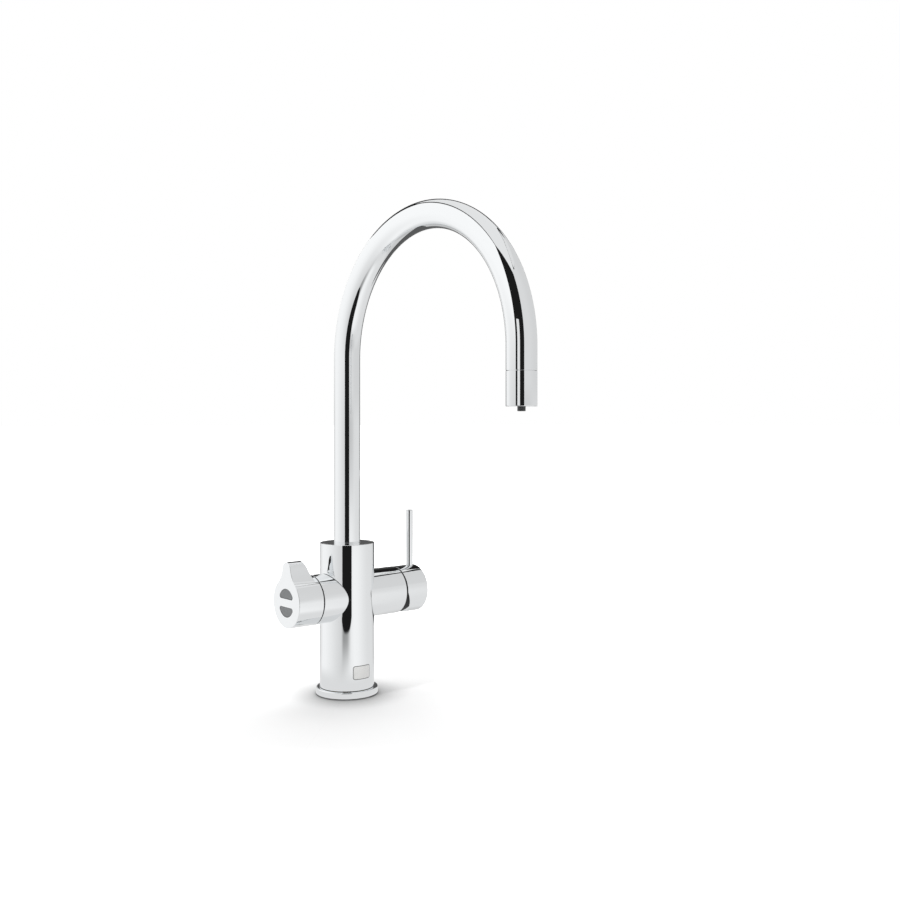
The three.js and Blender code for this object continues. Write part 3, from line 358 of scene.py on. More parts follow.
def finish(name, colour, metallic, roughness, wander, clouds, grain_depth, grains, shade):
    """A procedural material: cloudy roughness, a slight change of shade, and a fine grain."""
    material, tree, shader = new_material(name + "_finish")
    shader.inputs["Metallic"].default_value = metallic
    place = add_node(tree, "TexCoord").outputs["Object"]
    cloud = add_node(tree, "TexNoise", {"Scale": clouds, "Detail": 4}, {"Vector": place}).outputs["Fac"]
    roughness_span = {
        "From Min": 0.3,
        "From Max": 0.7,
        "To Min": roughness - wander,
        "To Max": roughness + wander,
    }
    rough = add_node(tree, "MapRange", roughness_span, {"Value": cloud})
    darker = [c * (1 - shade) for c in colour]
    shades = {"A": (*colour, 1), "B": (*darker, 1)}
    tint = add_node(tree, "Mix", shades, {"Factor": cloud}, data_type="RGBA")
    specks = add_node(tree, "TexNoise", {"Scale": grains, "Detail": 2}, {"Vector": place})
    bump = add_node(tree, "Bump", {"Distance": grain_depth * MICRON}, {"Height": specks.outputs["Fac"]})
    tree.links.new(rough.outputs["Result"], shader.inputs["Roughness"])
    tree.links.new(tint.outputs["Result"], shader.inputs["Base Color"])
    tree.links.new(bump.outputs["Normal"], shader.inputs["Normal"])
    return material


# Each finish: its colour, how metallic and how rough it is, how far the roughness wanders, its
# clouds per metre, the depth of its grain in micrometres, its grains per metre, and the share by
# which the clouds darken it.
FINISH_TABLE = {
    "chrome": ((0.88, 0.895, 0.905), 1, 0.035, 0.012, 22, 1.2, 160, 0.015),
    "brass": ((0.72, 0.50, 0.22), 1, 0.30, 0.08, 90, 20, 1400, 0.2),
    "steel": ((0.52, 0.53, 0.54), 1, 0.28, 0.08, 120, 20, 1800, 0.15),
    "rubber": ((0.014, 0.014, 0.015), 0, 0.72, 0.08, 200, 40, 2600, 0.3),
    "black_plastic": ((0.010, 0.010, 0.011), 0, 0.38, 0.06, 150, 20, 3000, 0.3),
    "white_plastic": ((0.74, 0.74, 0.71), 0, 0.42, 0.06, 120, 20, 2400, 0.06),
    "grey_plastic": ((0.060, 0.062, 0.065), 0, 0.40, 0.06, 160, 20, 2600, 0.2),
    "button_plastic": ((0.20, 0.21, 0.215), 0, 0.24, 0.05, 260, 10, 2600, 0.25),
    "board": ((0.012, 0.075, 0.035), 0, 0.35, 0.08, 220, 30, 1500, 0.35),
    "magnet": ((0.22, 0.22, 0.225), 1, 0.40, 0.08, 180, 30, 2000, 0.2),
    "satin_plate": ((0.80, 0.80, 0.79), 1, 0.30, 0.05, 240, 6, 2600, 0.05),
}
FINISHES = {name: finish(name, *row) for name, row in FINISH_TABLE.items()}

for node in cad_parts.values():
    slot_name = node.data.materials[0].name.split(".")[0]
    node.data.materials[0] = FINISHES[slot_name]

# ---------------------------------------------------------------- base ring and column


def base_ring():
    return revolved(
        filleted(
            [
                (COLUMN_BORE, 0, 0),
                (RING_RADIUS, 0, RING_FOOT_EDGE),
                (RING_RADIUS, RING_HEIGHT, RING_EDGE),
                (COLUMN_BORE, RING_HEIGHT, 0),
            ]
        )
    )


def column_shell():
    tube = revolved(
        filleted(
            [
                (COLUMN_BORE, COLUMN_FOOT, 0),
                (COLUMN_RADIUS, COLUMN_FOOT, COLUMN_FOOT_EDGE),
                (COLUMN_RADIUS, COLUMN_TOP, COLUMN_EDGE),
                (COLUMN_BORE, COLUMN_TOP, THIN_EDGE),
            ]
        )
    )
    holes = [drill(SHANK_HOLE_RADIUS, 0, 2 * COLUMN_RADIUS, side) for side in (LEVER_SIDE, MIXER_SIDE)]
    return carved(tube, *holes)


def column_cap():
    outer = COLUMN_BORE - FIT / 2
    inner = TUBE_RADIUS + FIT / 2
    return revolved(
        filleted(
            [
                (inner, CAP_BOTTOM, 0),
                (outer, CAP_BOTTOM, 0),
                (outer, COLUMN_TOP, THIN_EDGE),
                (inner, COLUMN_TOP, CAP_EDGE),
            ]
        )
    )


PLATE_AZIMUTH = -91
PLATE_HALF_WIDTH = 8
PLATE_BOTTOM = 16.2
PLATE_TOP = 26.7
PLATE_CORNER = 1.6
# how far the dark ring of painted shade shows round the plate
PLATE_SHADOW_MARGIN = 0.45
PLATE_LIFT = 0.22
PLATE_EDGE = 0.12
PLATE_ROOT = -0.1  # under the column's surface
# that painted shadow ring's lift above the column, and its edge
SHADOW_RING_LIFT = 0.05
SHADOW_RING_EDGE = 0.02
PLATE_CORNER_STEPS = 8
PLATE_SIDE_STEPS = 24


def bent_plate(margin, low, high, edge):
    """A rounded rectangle bent round the column, from one height above its surface to another."""
    half_height = (PLATE_TOP - PLATE_BOTTOM) / 2 + margin
    half_width = PLATE_HALF_WIDTH + margin
    corner = PLATE_CORNER + margin
    straight = half_width - corner
    right = arc(straight, half_height - corner, corner, 0, math.pi / 2, PLATE_CORNER_STEPS)
    middle = [(x, half_height) for x in stepped(straight, -straight, PLATE_SIDE_STEPS)[1:-1]]
    left = [(-x, y) for x, y in reversed(right)]
    upper = right + middle + left
    mesh = bmesh.new()
    rings = []
    for inset, lift in ((0, low), (0, high - edge), (edge, high)):
        ring = []
        for side in (1, -1):
            for x, y in upper:
                along = x * (1 - inset / half_width)
                up = side * y * (1 - inset / half_height)
                angle = math.radians(PLATE_AZIMUTH) + along / COLUMN_RADIUS
                radius = COLUMN_RADIUS + lift
                height = (PLATE_TOP + PLATE_BOTTOM) / 2 + up
                spot = (radius * math.cos(angle), radius * math.sin(angle), height)
                ring.append(mesh.verts.new(spot))
        rings.append(ring)
    half = len(upper)
    for lower_ring, upper_ring in zip(rings, rings[1:]):
        for start in (0, half):
            for i in range(start, start + half - 1):
                mesh.faces.new((lower_ring[i], lower_ring[i + 1], upper_ring[i + 1], upper_ring[i]))
        for i in (0, half - 1):
            mesh.faces.new((lower_ring[i], lower_ring[i + half], upper_ring[i + half], upper_ring[i]))
    for ring in (rings[0], rings[-1]):
        for i in range(half - 1):
            mesh.faces.new((ring[i], ring[i + 1], ring[half + i + 1], ring[half + i]))
    bmesh.ops.recalc_face_normals(mesh, faces=mesh.faces)
    return mesh


piece("ring_chrome", base_ring(), "chrome", "column", ["base_ring"])
piece("column_chrome", column_shell(), "chrome", "column", ["column_shell"])
piece("cap_chrome", column_cap(), "chrome", "column", ["column_cap"])
# painted shadow gap: a dark grey ring just proud of the column shows round the plate's edge
groove = bent_plate(PLATE_SHADOW_MARGIN, PLATE_ROOT, SHADOW_RING_LIFT, SHADOW_RING_EDGE)
piece("plate_shadow_ring", groove, "grey_plastic", "column")
plate = piece("bare_plate", bent_plate(0, PLATE_ROOT, PLATE_LIFT, PLATE_EDGE), "chrome", "column")
plate.data.materials[0] = FINISHES["satin_plate"]

# ---------------------------------------------------------------- spout


def spout_stations():
    """Points down the spout's middle line, each with the angle that the line leans towards -Y."""
    stations = [(0, TUBE_FOOT, 0), (0, ARCH_CENTRE, 0)]
    for i in range(1, ARCH_STEPS):
        lean = math.pi * i / ARCH_STEPS
        y = -ARCH_RADIUS + ARCH_RADIUS * math.cos(lean)
        z = ARCH_CENTRE + ARCH_RADIUS * math.sin(lean)
        stations.append((y, z, lean))
    stations.append((NOZZLE_Y, ARCH_CENTRE, math.pi))
    stations.append((NOZZLE_Y, NOZZLE_SEAM + SEAM_GAP / 2, math.pi))
    return stations


def spout_tube():
    stations = spout_stations()
    y, z, lean = stations[-1]
    outside = [(station, TUBE_RADIUS) for station in stations[:-1]]
    outside.append(((y, z + SEAM_CHAMFER, lean), TUBE_RADIUS))
    outside.append((stations[-1], TUBE_RADIUS - SEAM_CHAMFER))
    inside = [(station, TUBE_BORE) for station in reversed(stations)]
    mesh = bmesh.new()
    rings = []
    for (y, z, lean), radius in outside + inside:
        ring = []
        for angle in even_angles(TUBE_STEPS):
            sideways, forward = radius * math.cos(angle), radius * math.sin(angle)
            spot = (sideways, y + forward * math.cos(lean), z + forward * math.sin(lean))
            ring.append(mesh.verts.new(spot))
        rings.append(ring)
    for ring, following in zip(rings, rings[1:] + rings[:1]):
        for i in range(TUBE_STEPS):
            j = (i + 1) % TUBE_STEPS
            mesh.faces.new((ring[i], ring[j], following[j], following[i]))
    bmesh.ops.recalc_face_normals(mesh, faces=mesh.faces)
    return mesh


def nozzle_shell():
    seam = NOZZLE_SEAM - SEAM_GAP / 2
    tenon = TUBE_BORE - FIT
    tenon_top = reach_of("nozzle_shell", 2, 1)
    mouth = TUBE_RADIUS - NOZZLE_WALL
    bore = tenon - NOZZLE_WALL
    floor = reach_of("nozzle_insert", 2, 1) + FIT
    return revolved(
        filleted(
            [
                (mouth, NOZZLE_BOTTOM, THIN_EDGE),
                (TUBE_RADIUS, NOZZLE_BOTTOM, 0.45),
                (TUBE_RADIUS, seam, SEAM_CHAMFER),
                (tenon, seam, 0),
                (tenon, tenon_top, 0),
                (bore, tenon_top, 0),
                (bore, floor, 0),
                (mouth, floor, 0),
            ]
        )
    )


JET_COUNT = 12
JET_RADIUS = 0.75
JET_CIRCLE = 6.5
INSERT_COLLAR_RADIUS = 4.6
INSERT_BORE = 3.2
OUTLET_RADIUS = 2.9
OUTLET_BORE = 1.7


def nozzle_insert():
    bottom, top = heights_of("nozzle_insert")
    radius = TUBE_RADIUS - NOZZLE_WALL - FIT
    collar_bottom = bottom - 0.3
    chamfer = 0.6
    body = revolved(
        filleted(
            [
                (INSERT_BORE, collar_bottom, 0.15),
                (INSERT_COLLAR_RADIUS, collar_bottom, THIN_EDGE),
                (INSERT_COLLAR_RADIUS + 0.4, bottom, THIN_EDGE),
                (radius - chamfer, bottom, THIN_EDGE),
                (radius, bottom + chamfer, THIN_EDGE),
                (radius, top, 0),
                (INSERT_BORE, top, 0),
            ]
        )
    )
    jets = []
    for i in range(JET_COUNT):
        turn = Matrix.Rotation(math.tau * i / JET_COUNT, 4, "Z")
        place = turn @ Matrix.Translation((JET_CIRCLE, 0, 0))
        jets.append(drill(JET_RADIUS, bottom - 1, bottom + 4, place, 16))
    return carved(body, *jets)


def boiling_outlet():
    bottom, top = heights_of("boiling_outlet")
    return revolved(
        filleted(
            [
                (OUTLET_BORE, bottom, 0.15),
                (OUTLET_RADIUS, bottom, 0.4),
                (OUTLET_RADIUS, top, 0),
                (OUTLET_BORE, top, 0),
            ]
        )
    )


def o_ring(node):
    low, high = heights_of(node)
    half = (high - low) / 2
    middle = reach_of(node, 0, 1) - O_RING_SLACK - half
    return revolved(arc(middle, low + half, half, 0, math.tau, 20)[:-1])


for level in ("upper", "lower"):
    node = level + "_spigot_o_ring"
    piece(level + "_o_ring", o_ring(node), "rubber", "spout", [node])
piece("spout_chrome", spout_tube(), "chrome", "spout", ["spout_tube"])
piece("nozzle_chrome", nozzle_shell(), "chrome", "spout", ["nozzle_shell"], AT_NOZZLE)
piece("spray_face", nozzle_insert(), "grey_plastic", "spout", ["nozzle_insert"], AT_NOZZLE)
piece("outlet_stub", boiling_outlet(), "grey_plastic", "spout", ["boiling_outlet"], AT_NOZZLE)

# ---------------------------------------------------------------- both side units


def sleeve(radius, end, clearance, start=None):
    """A sleeve whose inner end follows the column at a clearance, or starts flat where it is told."""

    def saddle(r, angle):
        if start:
            return start
        return math.sqrt((COLUMN_RADIUS + clearance) ** 2 - (r * math.sin(angle)) ** 2)

    def profile(angle):
        return filleted(
            [
                (SLEEVE_BORE, saddle(SLEEVE_BORE, angle), 0),
                (radius, saddle(radius, angle), 0.15),
                (radius, end, 0.3),
                (SLEEVE_BORE, end, THIN_EDGE),
            ]
        )

    return revolved(profile)


# ---------------------------------------------------------------- filtered-water lever


def drop_outline():
    """The lever's drop shape, counter-clockwise from its tip: x is up, y is across."""
    to_barrel = LEVER_RADIUS + LEVER_SHOULDER_RADIUS
    to_tip = LEVER_TIP_RADIUS + LEVER_SHOULDER_RADIUS
    flank_x = (to_barrel**2 - to_tip**2 + LEVER_TIP_CENTRE**2) / (2 * LEVER_TIP_CENTRE)
    flank_y = math.sqrt(to_barrel**2 - flank_x**2)
    tip_end = math.atan2(flank_y, flank_x - LEVER_TIP_CENTRE)
    flank_start = tip_end - math.pi
    barrel_start = math.atan2(flank_y, flank_x)
    flank_end = barrel_start - math.pi
    tip = arc(LEVER_TIP_CENTRE, 0, LEVER_TIP_RADIUS, 0, tip_end, BLADE_STEPS)
    flank = arc(flank_x, flank_y, LEVER_SHOULDER_RADIUS, flank_start, flank_end, BLADE_STEPS)
    barrel = arc(0, 0, LEVER_RADIUS, barrel_start, math.pi, BARREL_STEPS)
    half = tip + flank[1:] + barrel[1:]
    return half + [(x, -y) for x, y in reversed(half[1:-1])]


def half_moon(margin):
    """A button's outline above the axis, counter-clockwise: x is up, y is across."""
    radius, flat, corner = BUTTON_RADIUS + margin, BUTTON_FLAT - margin, BUTTON_CORNER + margin
    corner_x = flat + corner
    corner_y = math.sqrt((radius - corner) ** 2 - corner_x**2)
    meet = math.atan2(corner_y, corner_x)
    lower = arc(corner_x, -corner_y, corner, -math.pi, -meet, BUTTON_CORNER_STEPS)
    round_side = arc(0, 0, radius, -meet, meet, BUTTON_STEPS)
    upper = arc(corner_x, corner_y, corner, meet, math.pi, BUTTON_CORNER_STEPS)
    return lower + round_side[1:-1] + upper


def lever_knob():
    outline = drop_outline()
    angles = [math.atan2(y, x) for x, y in outline]
    radii = {angle: math.hypot(x, y) for angle, (x, y) in zip(angles, outline)}
    slope = math.tan(math.radians(LEVER_SLOPE))
    tip_height = LEVER_TIP_CENTRE + LEVER_TIP_RADIUS
    cavity_end = LEVER_FACE - LEVER_FRONT_WALL

    def back_at(up):
        """Where the blade's back lies at a height above the axis: it slopes, down to the barrel."""
        sloping = LEVER_FACE - LEVER_TIP_THICKNESS - (tip_height - up) * slope
        return max(LEVER_BACK + 1, sloping)

    def profile(angle):
        radius = radii[angle]
        at_barrel, at_rim = (back_at(r * math.cos(angle)) for r in (LEVER_RADIUS, radius))
        return filleted(
            [
                (0, cavity_end, 0),
                (LEVER_CAVITY_RADIUS, cavity_end, 0),
                (LEVER_CAVITY_RADIUS, LEVER_BACK, 0),
                (LEVER_RADIUS, LEVER_BACK, 0.3),
                (LEVER_RADIUS, at_barrel, 2.5),
                (radius, at_rim, 0.8),
                (radius, LEVER_FACE, LEVER_EDGE),
                (0, LEVER_FACE, 0),
            ],
            closed=False,
        )

    knob = revolved(profile, angles)
    window = half_moon(BUTTON_CLEARANCE)
    windows = [window, [(-x, -y) for x, y in window]]
    return carved(knob, *[slab(w, [(0, cavity_end - 1), (0, LEVER_FACE + 1)]) for w in windows])


def button():
    face = LEVER_FACE - BUTTON_RECESS
    return slab(half_moon(0), rounded_levels(face - BUTTON_DEPTH, face, BUTTON_EDGE))


HALF_TURN = Matrix.Rotation(math.pi, 4, "Z")

# black rubber seals in the collar's seams; their black also stands as painted shade for the shadow in
# those seams
seal_and_shade_radius = LEVER_RADIUS - SEAL_AND_SHADE_DEPTH
collar = sleeve(LEVER_RADIUS, LEVER_COLLAR_END - LEVER_SEAM, COLLAR_CLEARANCE)
saddle_seal_and_shade = sleeve(seal_and_shade_radius, LEVER_COLLAR_END - 9, 0.05)
end_seal_and_shade = sleeve(seal_and_shade_radius, LEVER_COLLAR_END, 0, start=LEVER_COLLAR_END - 2)
piece("collar_chrome", collar, "chrome", "column", ["lever_collar"], LEVER_SIDE)
piece("collar_saddle_seal_and_shade", saddle_seal_and_shade, "rubber", "column", place=LEVER_SIDE)
piece("collar_end_seal_and_shade", end_seal_and_shade, "rubber", "column", place=LEVER_SIDE)
piece("lever_chrome", lever_knob(), "chrome", "lever", ["lever_knob"], LEVER_SIDE)
for level, place in (("upper", LEVER_SIDE), ("lower", LEVER_SIDE @ HALF_TURN)):
    body = level + "_button"
    piece(level + "_half_moon", button(), "button_plastic", body, [body], place)

# ---------------------------------------------------------------- mixer handle


def gaiter():
    """The black skirt under the cap: it fills the seam, and the wedge that the tilted cap opens; its
    black also stands as painted shade for the shadow in them.
    """

    start = math.radians(-1.8)
    steps = 10

    def profile(angle):
        end = math.radians(mixed(*GAITER_REACH, smooth(-math.cos(angle), -0.1, 0.25)))
        outside = arc(0, MIXER_SEAM, GAITER_RADIUS, start, end, steps)
        inside = arc(0, MIXER_SEAM, GAITER_RADIUS - GAITER_THICKNESS, end, start, steps)
        return outside + inside

    return revolved(profile)


def mixer_cap():
    slope = math.tan(math.radians(TILT_WEDGE))
    cavity = GAITER_RADIUS + 0.05
    rim = MIXER_RIM - MIXER_SEAM + MIXER_SEAM_BACK
    cavity_steps = 16

    def profile(angle):
        lean = max(0, -math.cos(angle)) * slope
        half_linear = rim * lean
        meeting = math.sqrt(half_linear**2 + (1 + lean**2) * (cavity**2 - rim**2)) - half_linear
        mouth = meeting / (1 + lean**2)
        opening = math.atan2(rim + lean * mouth, mouth)
        hollow = arc(0, MIXER_SEAM, cavity, math.pi / 2, opening, cavity_steps)
        hollow[0] = (0, MIXER_SEAM + cavity)
        rest = filleted(
            [
                (mouth, MIXER_SEAM + rim + lean * mouth, 0),
                (MIXER_RADIUS, MIXER_SEAM + rim + lean * MIXER_RADIUS, 0.25),
                (MIXER_RADIUS, MIXER_END, MIXER_EDGE),
                (0, MIXER_END, 0),
            ],
            closed=False,
        )
        return hollow[:-1] + rest

    cap = revolved(profile)
    hole = drill(PIN_RADIUS + 0.15, DOME_RADIUS, MIXER_RADIUS + 5, pin_place(), 48)
    return carved(cap, hole)


def pin_place():
    """Local Z runs up from the mixer's axis, at the pin's distance out."""
    return Matrix.Translation((0, 0, PIN_DISTANCE)) @ Matrix.Rotation(math.pi / 2, 4, "Y")


def pin_lever():
    foot = reach_of("pin_lever", 2, 0) - HANDLE_HEIGHT
    mesh = revolved(
        filleted(
            [(0, foot, 0), (PIN_RADIUS, foot, 0), (PIN_RADIUS, PIN_TOP, PIN_EDGE), (0, PIN_TOP, 0)],
            closed=False,
        ),
        even_angles(64),
    )
    mesh.transform(pin_place())
    return mesh


def mixer_dome():
    start = reach_of("mixer_dome", 0, 0)
    inner = DOME_RADIUS - DOME_WALL
    window = math.radians(DOME_WINDOW)
    steps = 14
    outside = arc(0, MIXER_SEAM, DOME_RADIUS, 0, window, steps)
    inside = arc(0, MIXER_SEAM, inner, window, 0, steps)
    return revolved([(DOME_RADIUS, start)] + outside + inside + [(inner, start)])


housing = sleeve(MIXER_RADIUS, MIXER_HOUSING_END - MIXER_SEAM_BACK, HOUSING_BITE)
piece("housing_chrome", housing, "chrome", "column", ["mixer_housing"], MIXER_SIDE)
piece("dome_black", mixer_dome(), "black_plastic", "column", ["mixer_dome"], MIXER_SIDE)
# the skirt's black is partly painted shade for the seam and the wedge
piece("tilt_gaiter_and_shade", gaiter(), "rubber", "mixer_rotor", place=MIXER_SIDE)
piece("handle_chrome", mixer_cap(), "chrome", "mixer_handle", ["mixer_cap"], MIXER_SIDE)
piece("pin_chrome", pin_lever(), "chrome", "mixer_handle", ["pin_lever"], MIXER_SIDE)

# ---------------------------------------------------------------- fixing kit under the worktop

AT_STUD = Matrix.Translation((0, 14, 0))
STUD_RADIUS = reach_of("mounting_stud", 0, 1)
STUD_BORE = STUD_RADIUS + 0.1
THREAD_PITCH = 1.25
THREAD_DEPTH = 0.6
THREAD_STEPS = 8  # heights on each turn of the thread
CLAMP_RADIUS = reach_of("clamp_plate", 0, 1)
CLAMP_SLOT_RADIUS = 15
CLAMP_SLOT_CENTRE = -8
CLAMP_EDGE = 0.5
CLAMP_MOUTH_FILLET = 1.2
NUT_FLANGE_RADIUS = reach_of("clamp_nut", 0, 1)
NUT_FLANGE_HEIGHT = 1.8
NUT_ACROSS_FLATS = 13


def threaded_stud():
    low, high = heights_of("mounting_stud")
    heights = stepped(low, high, round(THREAD_STEPS * (high - low) / THREAD_PITCH))

    def profile(angle):
        outline = [(0, low)]
        for height in heights:
            turn = (height / THREAD_PITCH - angle / math.tau) % 1
            groove = THREAD_DEPTH * min(1, max(0, 1.3 * abs(2 * turn - 1) - 0.15))
            point = max(0, 1 + low - height)
            outline.append((STUD_RADIUS - max(groove, point), height))
        return outline + [(0, high)]

    return revolved(profile, even_angles(48))


def horseshoe():
    """The clamp's outline: a disc with a round-ended slot that the hoses pass through."""
    mouth = math.asin(CLAMP_SLOT_RADIUS / CLAMP_RADIUS)
    rim = arc(0, 0, CLAMP_RADIUS, mouth - math.pi / 2, 1.5 * math.pi - mouth, 72)
    slot = arc(0, CLAMP_SLOT_CENTRE, CLAMP_SLOT_RADIUS, math.pi, 0, 36)
    corners = [(x, y, 0) for x, y in rim + slot]
    for i in (0, len(rim) - 1):
        corners[i] = (*rim[i], CLAMP_MOUTH_FILLET)
    return filleted(corners)


def clamp(node):
    low, high = heights_of(node)
    plate = slab(horseshoe(), rounded_levels(low, high, CLAMP_EDGE))
    bmesh.ops.triangulate(plate, faces=[face for face in plate.faces if len(face.verts) > 4])
    return carved(plate, drill(STUD_BORE, low - 1, high + 1, AT_STUD, 48))


def flange_nut():
    low, high = heights_of("clamp_nut")
    flange = high - NUT_FLANGE_HEIGHT
    apothem = NUT_ACROSS_FLATS / 2
    face = 0.96 * apothem
    lead_in = 0.7

    def profile(angle):
        side = apothem / math.cos(angle % (math.pi / 3) - math.pi / 6)
        chamfer = (side - face) * math.tan(math.radians(30))
        return filleted(
            [
                (STUD_BORE + lead_in, low, 0),
                (face, low, 0),
                (side, low + chamfer, 0),
                (side, flange - 0.4, 0.4),
                (NUT_FLANGE_RADIUS, flange, 0),
                (NUT_FLANGE_RADIUS, high, 0.3),
                (STUD_BORE + lead_in, high, 0),
                (STUD_BORE, high - lead_in, 0),
                (STUD_BORE, low + lead_in, 0),
            ]
        )

    return revolved(profile)


piece("stud_thread", threaded_stud(), "steel", "column", ["mounting_stud"], AT_STUD)
piece("clamp_pad", clamp("clamp_washer"), "rubber", "column", ["clamp_washer"])
piece("clamp_horseshoe", clamp("clamp_plate"), "steel", "column", ["clamp_plate"])
piece("clamp_flange_nut", flange_nut(), "brass", "column", ["clamp_nut"], AT_STUD)

# ---------------------------------------------------------------- camera, floor and light

CAMERA_HEIGHT = 230.7
CAMERA_AZIMUTH = 39.84  # degrees that the view turns from +Y towards +X
COLUMN_SIDE = -86.5  # where the column stands from the camera: sideways, and in depth
COLUMN_DEPTH = 892.1
FOCAL_LENGTH = 42.057
SENSOR = 36
CAMERA_SHIFT = (0.00113, -0.0327)

heading = math.radians(CAMERA_AZIMUTH)
INTO_VIEW = Vector((math.sin(heading), math.cos(heading), 0))
TO_THE_RIGHT = Vector((math.cos(heading), -math.sin(heading), 0))


def seen_from_camera(sideways, depth, height):
    """A point in metres from its place sideways, in depth and above the floor, in millimetres."""
    flat = TO_THE_RIGHT * (sideways - COLUMN_SIDE) + INTO_VIEW * (depth - COLUMN_DEPTH)
    return (flat + Vector((0, 0, height))) * MM


NOZZLE_SIDE = COLUMN_SIDE - NOZZLE_Y * math.sin(heading)
NOZZLE_DEPTH = COLUMN_DEPTH + NOZZLE_Y * math.cos(heading)


def add_camera():
    lens = bpy.data.cameras.new("camera")
    lens.sensor_fit = "HORIZONTAL"
    lens.sensor_width = SENSOR
    lens.lens = FOCAL_LENGTH
    lens.shift_x, lens.shift_y = CAMERA_SHIFT
    camera = bpy.data.objects.new("camera", lens)
    camera.location = seen_from_camera(0, 0, CAMERA_HEIGHT)
    camera.rotation_euler = (math.pi / 2, 0, -heading)
    bpy.context.scene.collection.objects.link(camera)
    bpy.context.scene.camera = camera


def glow_material():
    """An unlit material whose brightness is the level that each mesh carries."""
    material, tree, shader = new_material("set_glow")
    tree.nodes.remove(shader)
    level = add_node(tree, "Attribute", attribute_name="level").outputs["Fac"]
    glow = add_node(tree, "Emission", links={"Strength": level}).outputs["Emission"]
    tree.links.new(glow, tree.nodes["Material Output"].inputs["Surface"])
    return material


SET_GLOW = glow_material()
DARK = 0.012


def between(value, points):
    """Follows straight lines through the (value, level) points."""
    for (start, low), (stop, high) in zip(points, points[1:]):
        if value <= stop:
            return mixed(low, high, max(0, (value - start) / (stop - start)))
    return points[-1][1]


def azimuth_of(sideways, depth):
    """Degrees round the column from the camera's side of it, towards the camera's right."""
    return math.degrees(math.atan2(sideways - COLUMN_SIDE, COLUMN_DEPTH - depth))


def add_sheet(name, rows, level_at):
    """A glowing sheet that only reflections show: rows of (sideways, depth, height) spots, and its
    level, or a function that gives the level at a spot."""
    mesh = bmesh.new()
    level = mesh.verts.layers.float.new("level")
    made_rows = []
    for row in rows:
        made_row = []
        for spot in row:
            vertex = mesh.verts.new(seen_from_camera(*spot))
            vertex[level] = level_at(*spot) if callable(level_at) else level_at
            made_row.append(vertex)
        made_rows.append(made_row)
    for row, following in zip(made_rows, made_rows[1:]):
        for i in range(len(row) - 1):
            mesh.faces.new((row[i], row[i + 1], following[i + 1], following[i]))
    sheet = loose_object(name, mesh)
    sheet.data.materials.append(SET_GLOW)
    for ray in ("camera", "diffuse", "transmission", "volume_scatter", "shadow"):
        setattr(sheet, "visible_" + ray, False)


# The white set round the tap, as its chrome sees it: two walls, a roof and a floor, with dark air
# beyond their edges. Plan points are (sideways, depth) from the camera, and levels follow the
# azimuth round the column.
LEFT_WALL = [(-183, 501), (-292, 1172)]
LEFT_FLAG = [(-183, 501), (-148, 501)]
LEFT_RETURN = [(-300, 1190), (-215, 1500)]
LEFT_RETURN_TOP = 560
RIGHT_WALL = [(156, 360), (300, 470), (392, 654), (385, 954), (336, 1450), (262, 1500)]
WALL_TOPS = (800, 830)  # the left wall's and the right wall's
WALL_STEPS = 24
WALL_ROWS = 40
LEFT_LEVELS = [
    (-160, 0.57),
    (-140, 0.75),
    (-110, 1.0),
    (-90, 1.0),
    (-60, 0.91),
    (-30, 0.78),
    (-15, 0.72),
]
LEFT_UPPER = 1.06
LEFT_RISE = (200, 420)  # the heights between which the wall turns to its upper level
RIGHT_LEVELS = [
    (20, 0.93),
    (35, 1.0),
    (50, 0.98),
    (63, 0.93),
    (78, 0.87),
    (95, 0.82),
    (130, 0.80),
    (145, 0.66),
]
RIGHT_UPPER = [(24, 0.58), (52, 0.66), (72, 0.78), (110, 0.80), (130, 0.78), (145, 0.70)]
RIGHT_RISE = (30, 220)
RIGHT_TOP = [(24, 0.77), (50, 0.77), (75, 0.73), (145, 0.70)]
RIGHT_TOP_RISE = (225, 270)
FLOOR_FRONT = 300
FLOOR_BACK = 1181
FLOOR_SIDES = (-330, 430)
NEAR_FLOOR_SHADOW = 0.79  # the sheet floor's level close to the column: a painted shadow of the tap, for its reflections
NEAR_SHADOW_REACH = (40, 110)  # the distances over which that painted shadow blends away
MOUTH = (-15.5, 24.5)  # the azimuths of the dark mouth between the walls' front ends
MOUTH_END = 615  # how deep the mouth's round end runs into the floor
MOUTH_ROUNDING = 60
MOUTH_PAINTED_SHADE = 0.55  # painted shade: how much the sheet floor dims towards the mouth's end
MOUTH_PAINTED_SHADE_DEPTH = 190
SOFT_END = 24
SOFT_SIDE = 0.6  # degrees
# Each row across the roof: its left and right ends, and its height.
ROOF_ROWS = [
    ((-184, 458), (264, 240), 880),
    ((-204, 620), (276, 560), 880),
    ((-236, 860), (303, 860), 880),
    ((-266, 1150), (303, 1150), 880),
    ((-296, 1430), (330, 1400), 880),
    ((-450, 1943), (450, 1943), 1325),
]
ROOF_LEVEL = 0.86
RIGHT_SLOPE = [(300, 480), (392, 654), (385, 954), (370, 1120)]  # its foot on the right wall's top
SLOPE_HEAD = [(277, 480), (286, 654), (309, 860), (309, 1120)]
SLOPE_TOP = 874
SLOPE_LEVEL = 0.80


def along(plan, steps):
    """The plan's points, with the given number of steps on each of its legs."""
    path = plan[:1]
    for (x0, y0), (x1, y1) in zip(plan, plan[1:]):
        path += list(zip(stepped(x0, x1, steps), stepped(y0, y1, steps)))[1:]
    return path


def add_wall(name, plan, top, level_at):
    heights = stepped(0, top, WALL_ROWS)
    rows = [[(x, y, height) for x, y in along(plan, WALL_STEPS)] for height in heights]
    add_sheet(name, rows, level_at)


def left_wall_level(sideways, depth, height):
    low = between(azimuth_of(sideways, depth), LEFT_LEVELS)
    return mixed(low, max(low, LEFT_UPPER), smooth(height, *LEFT_RISE))


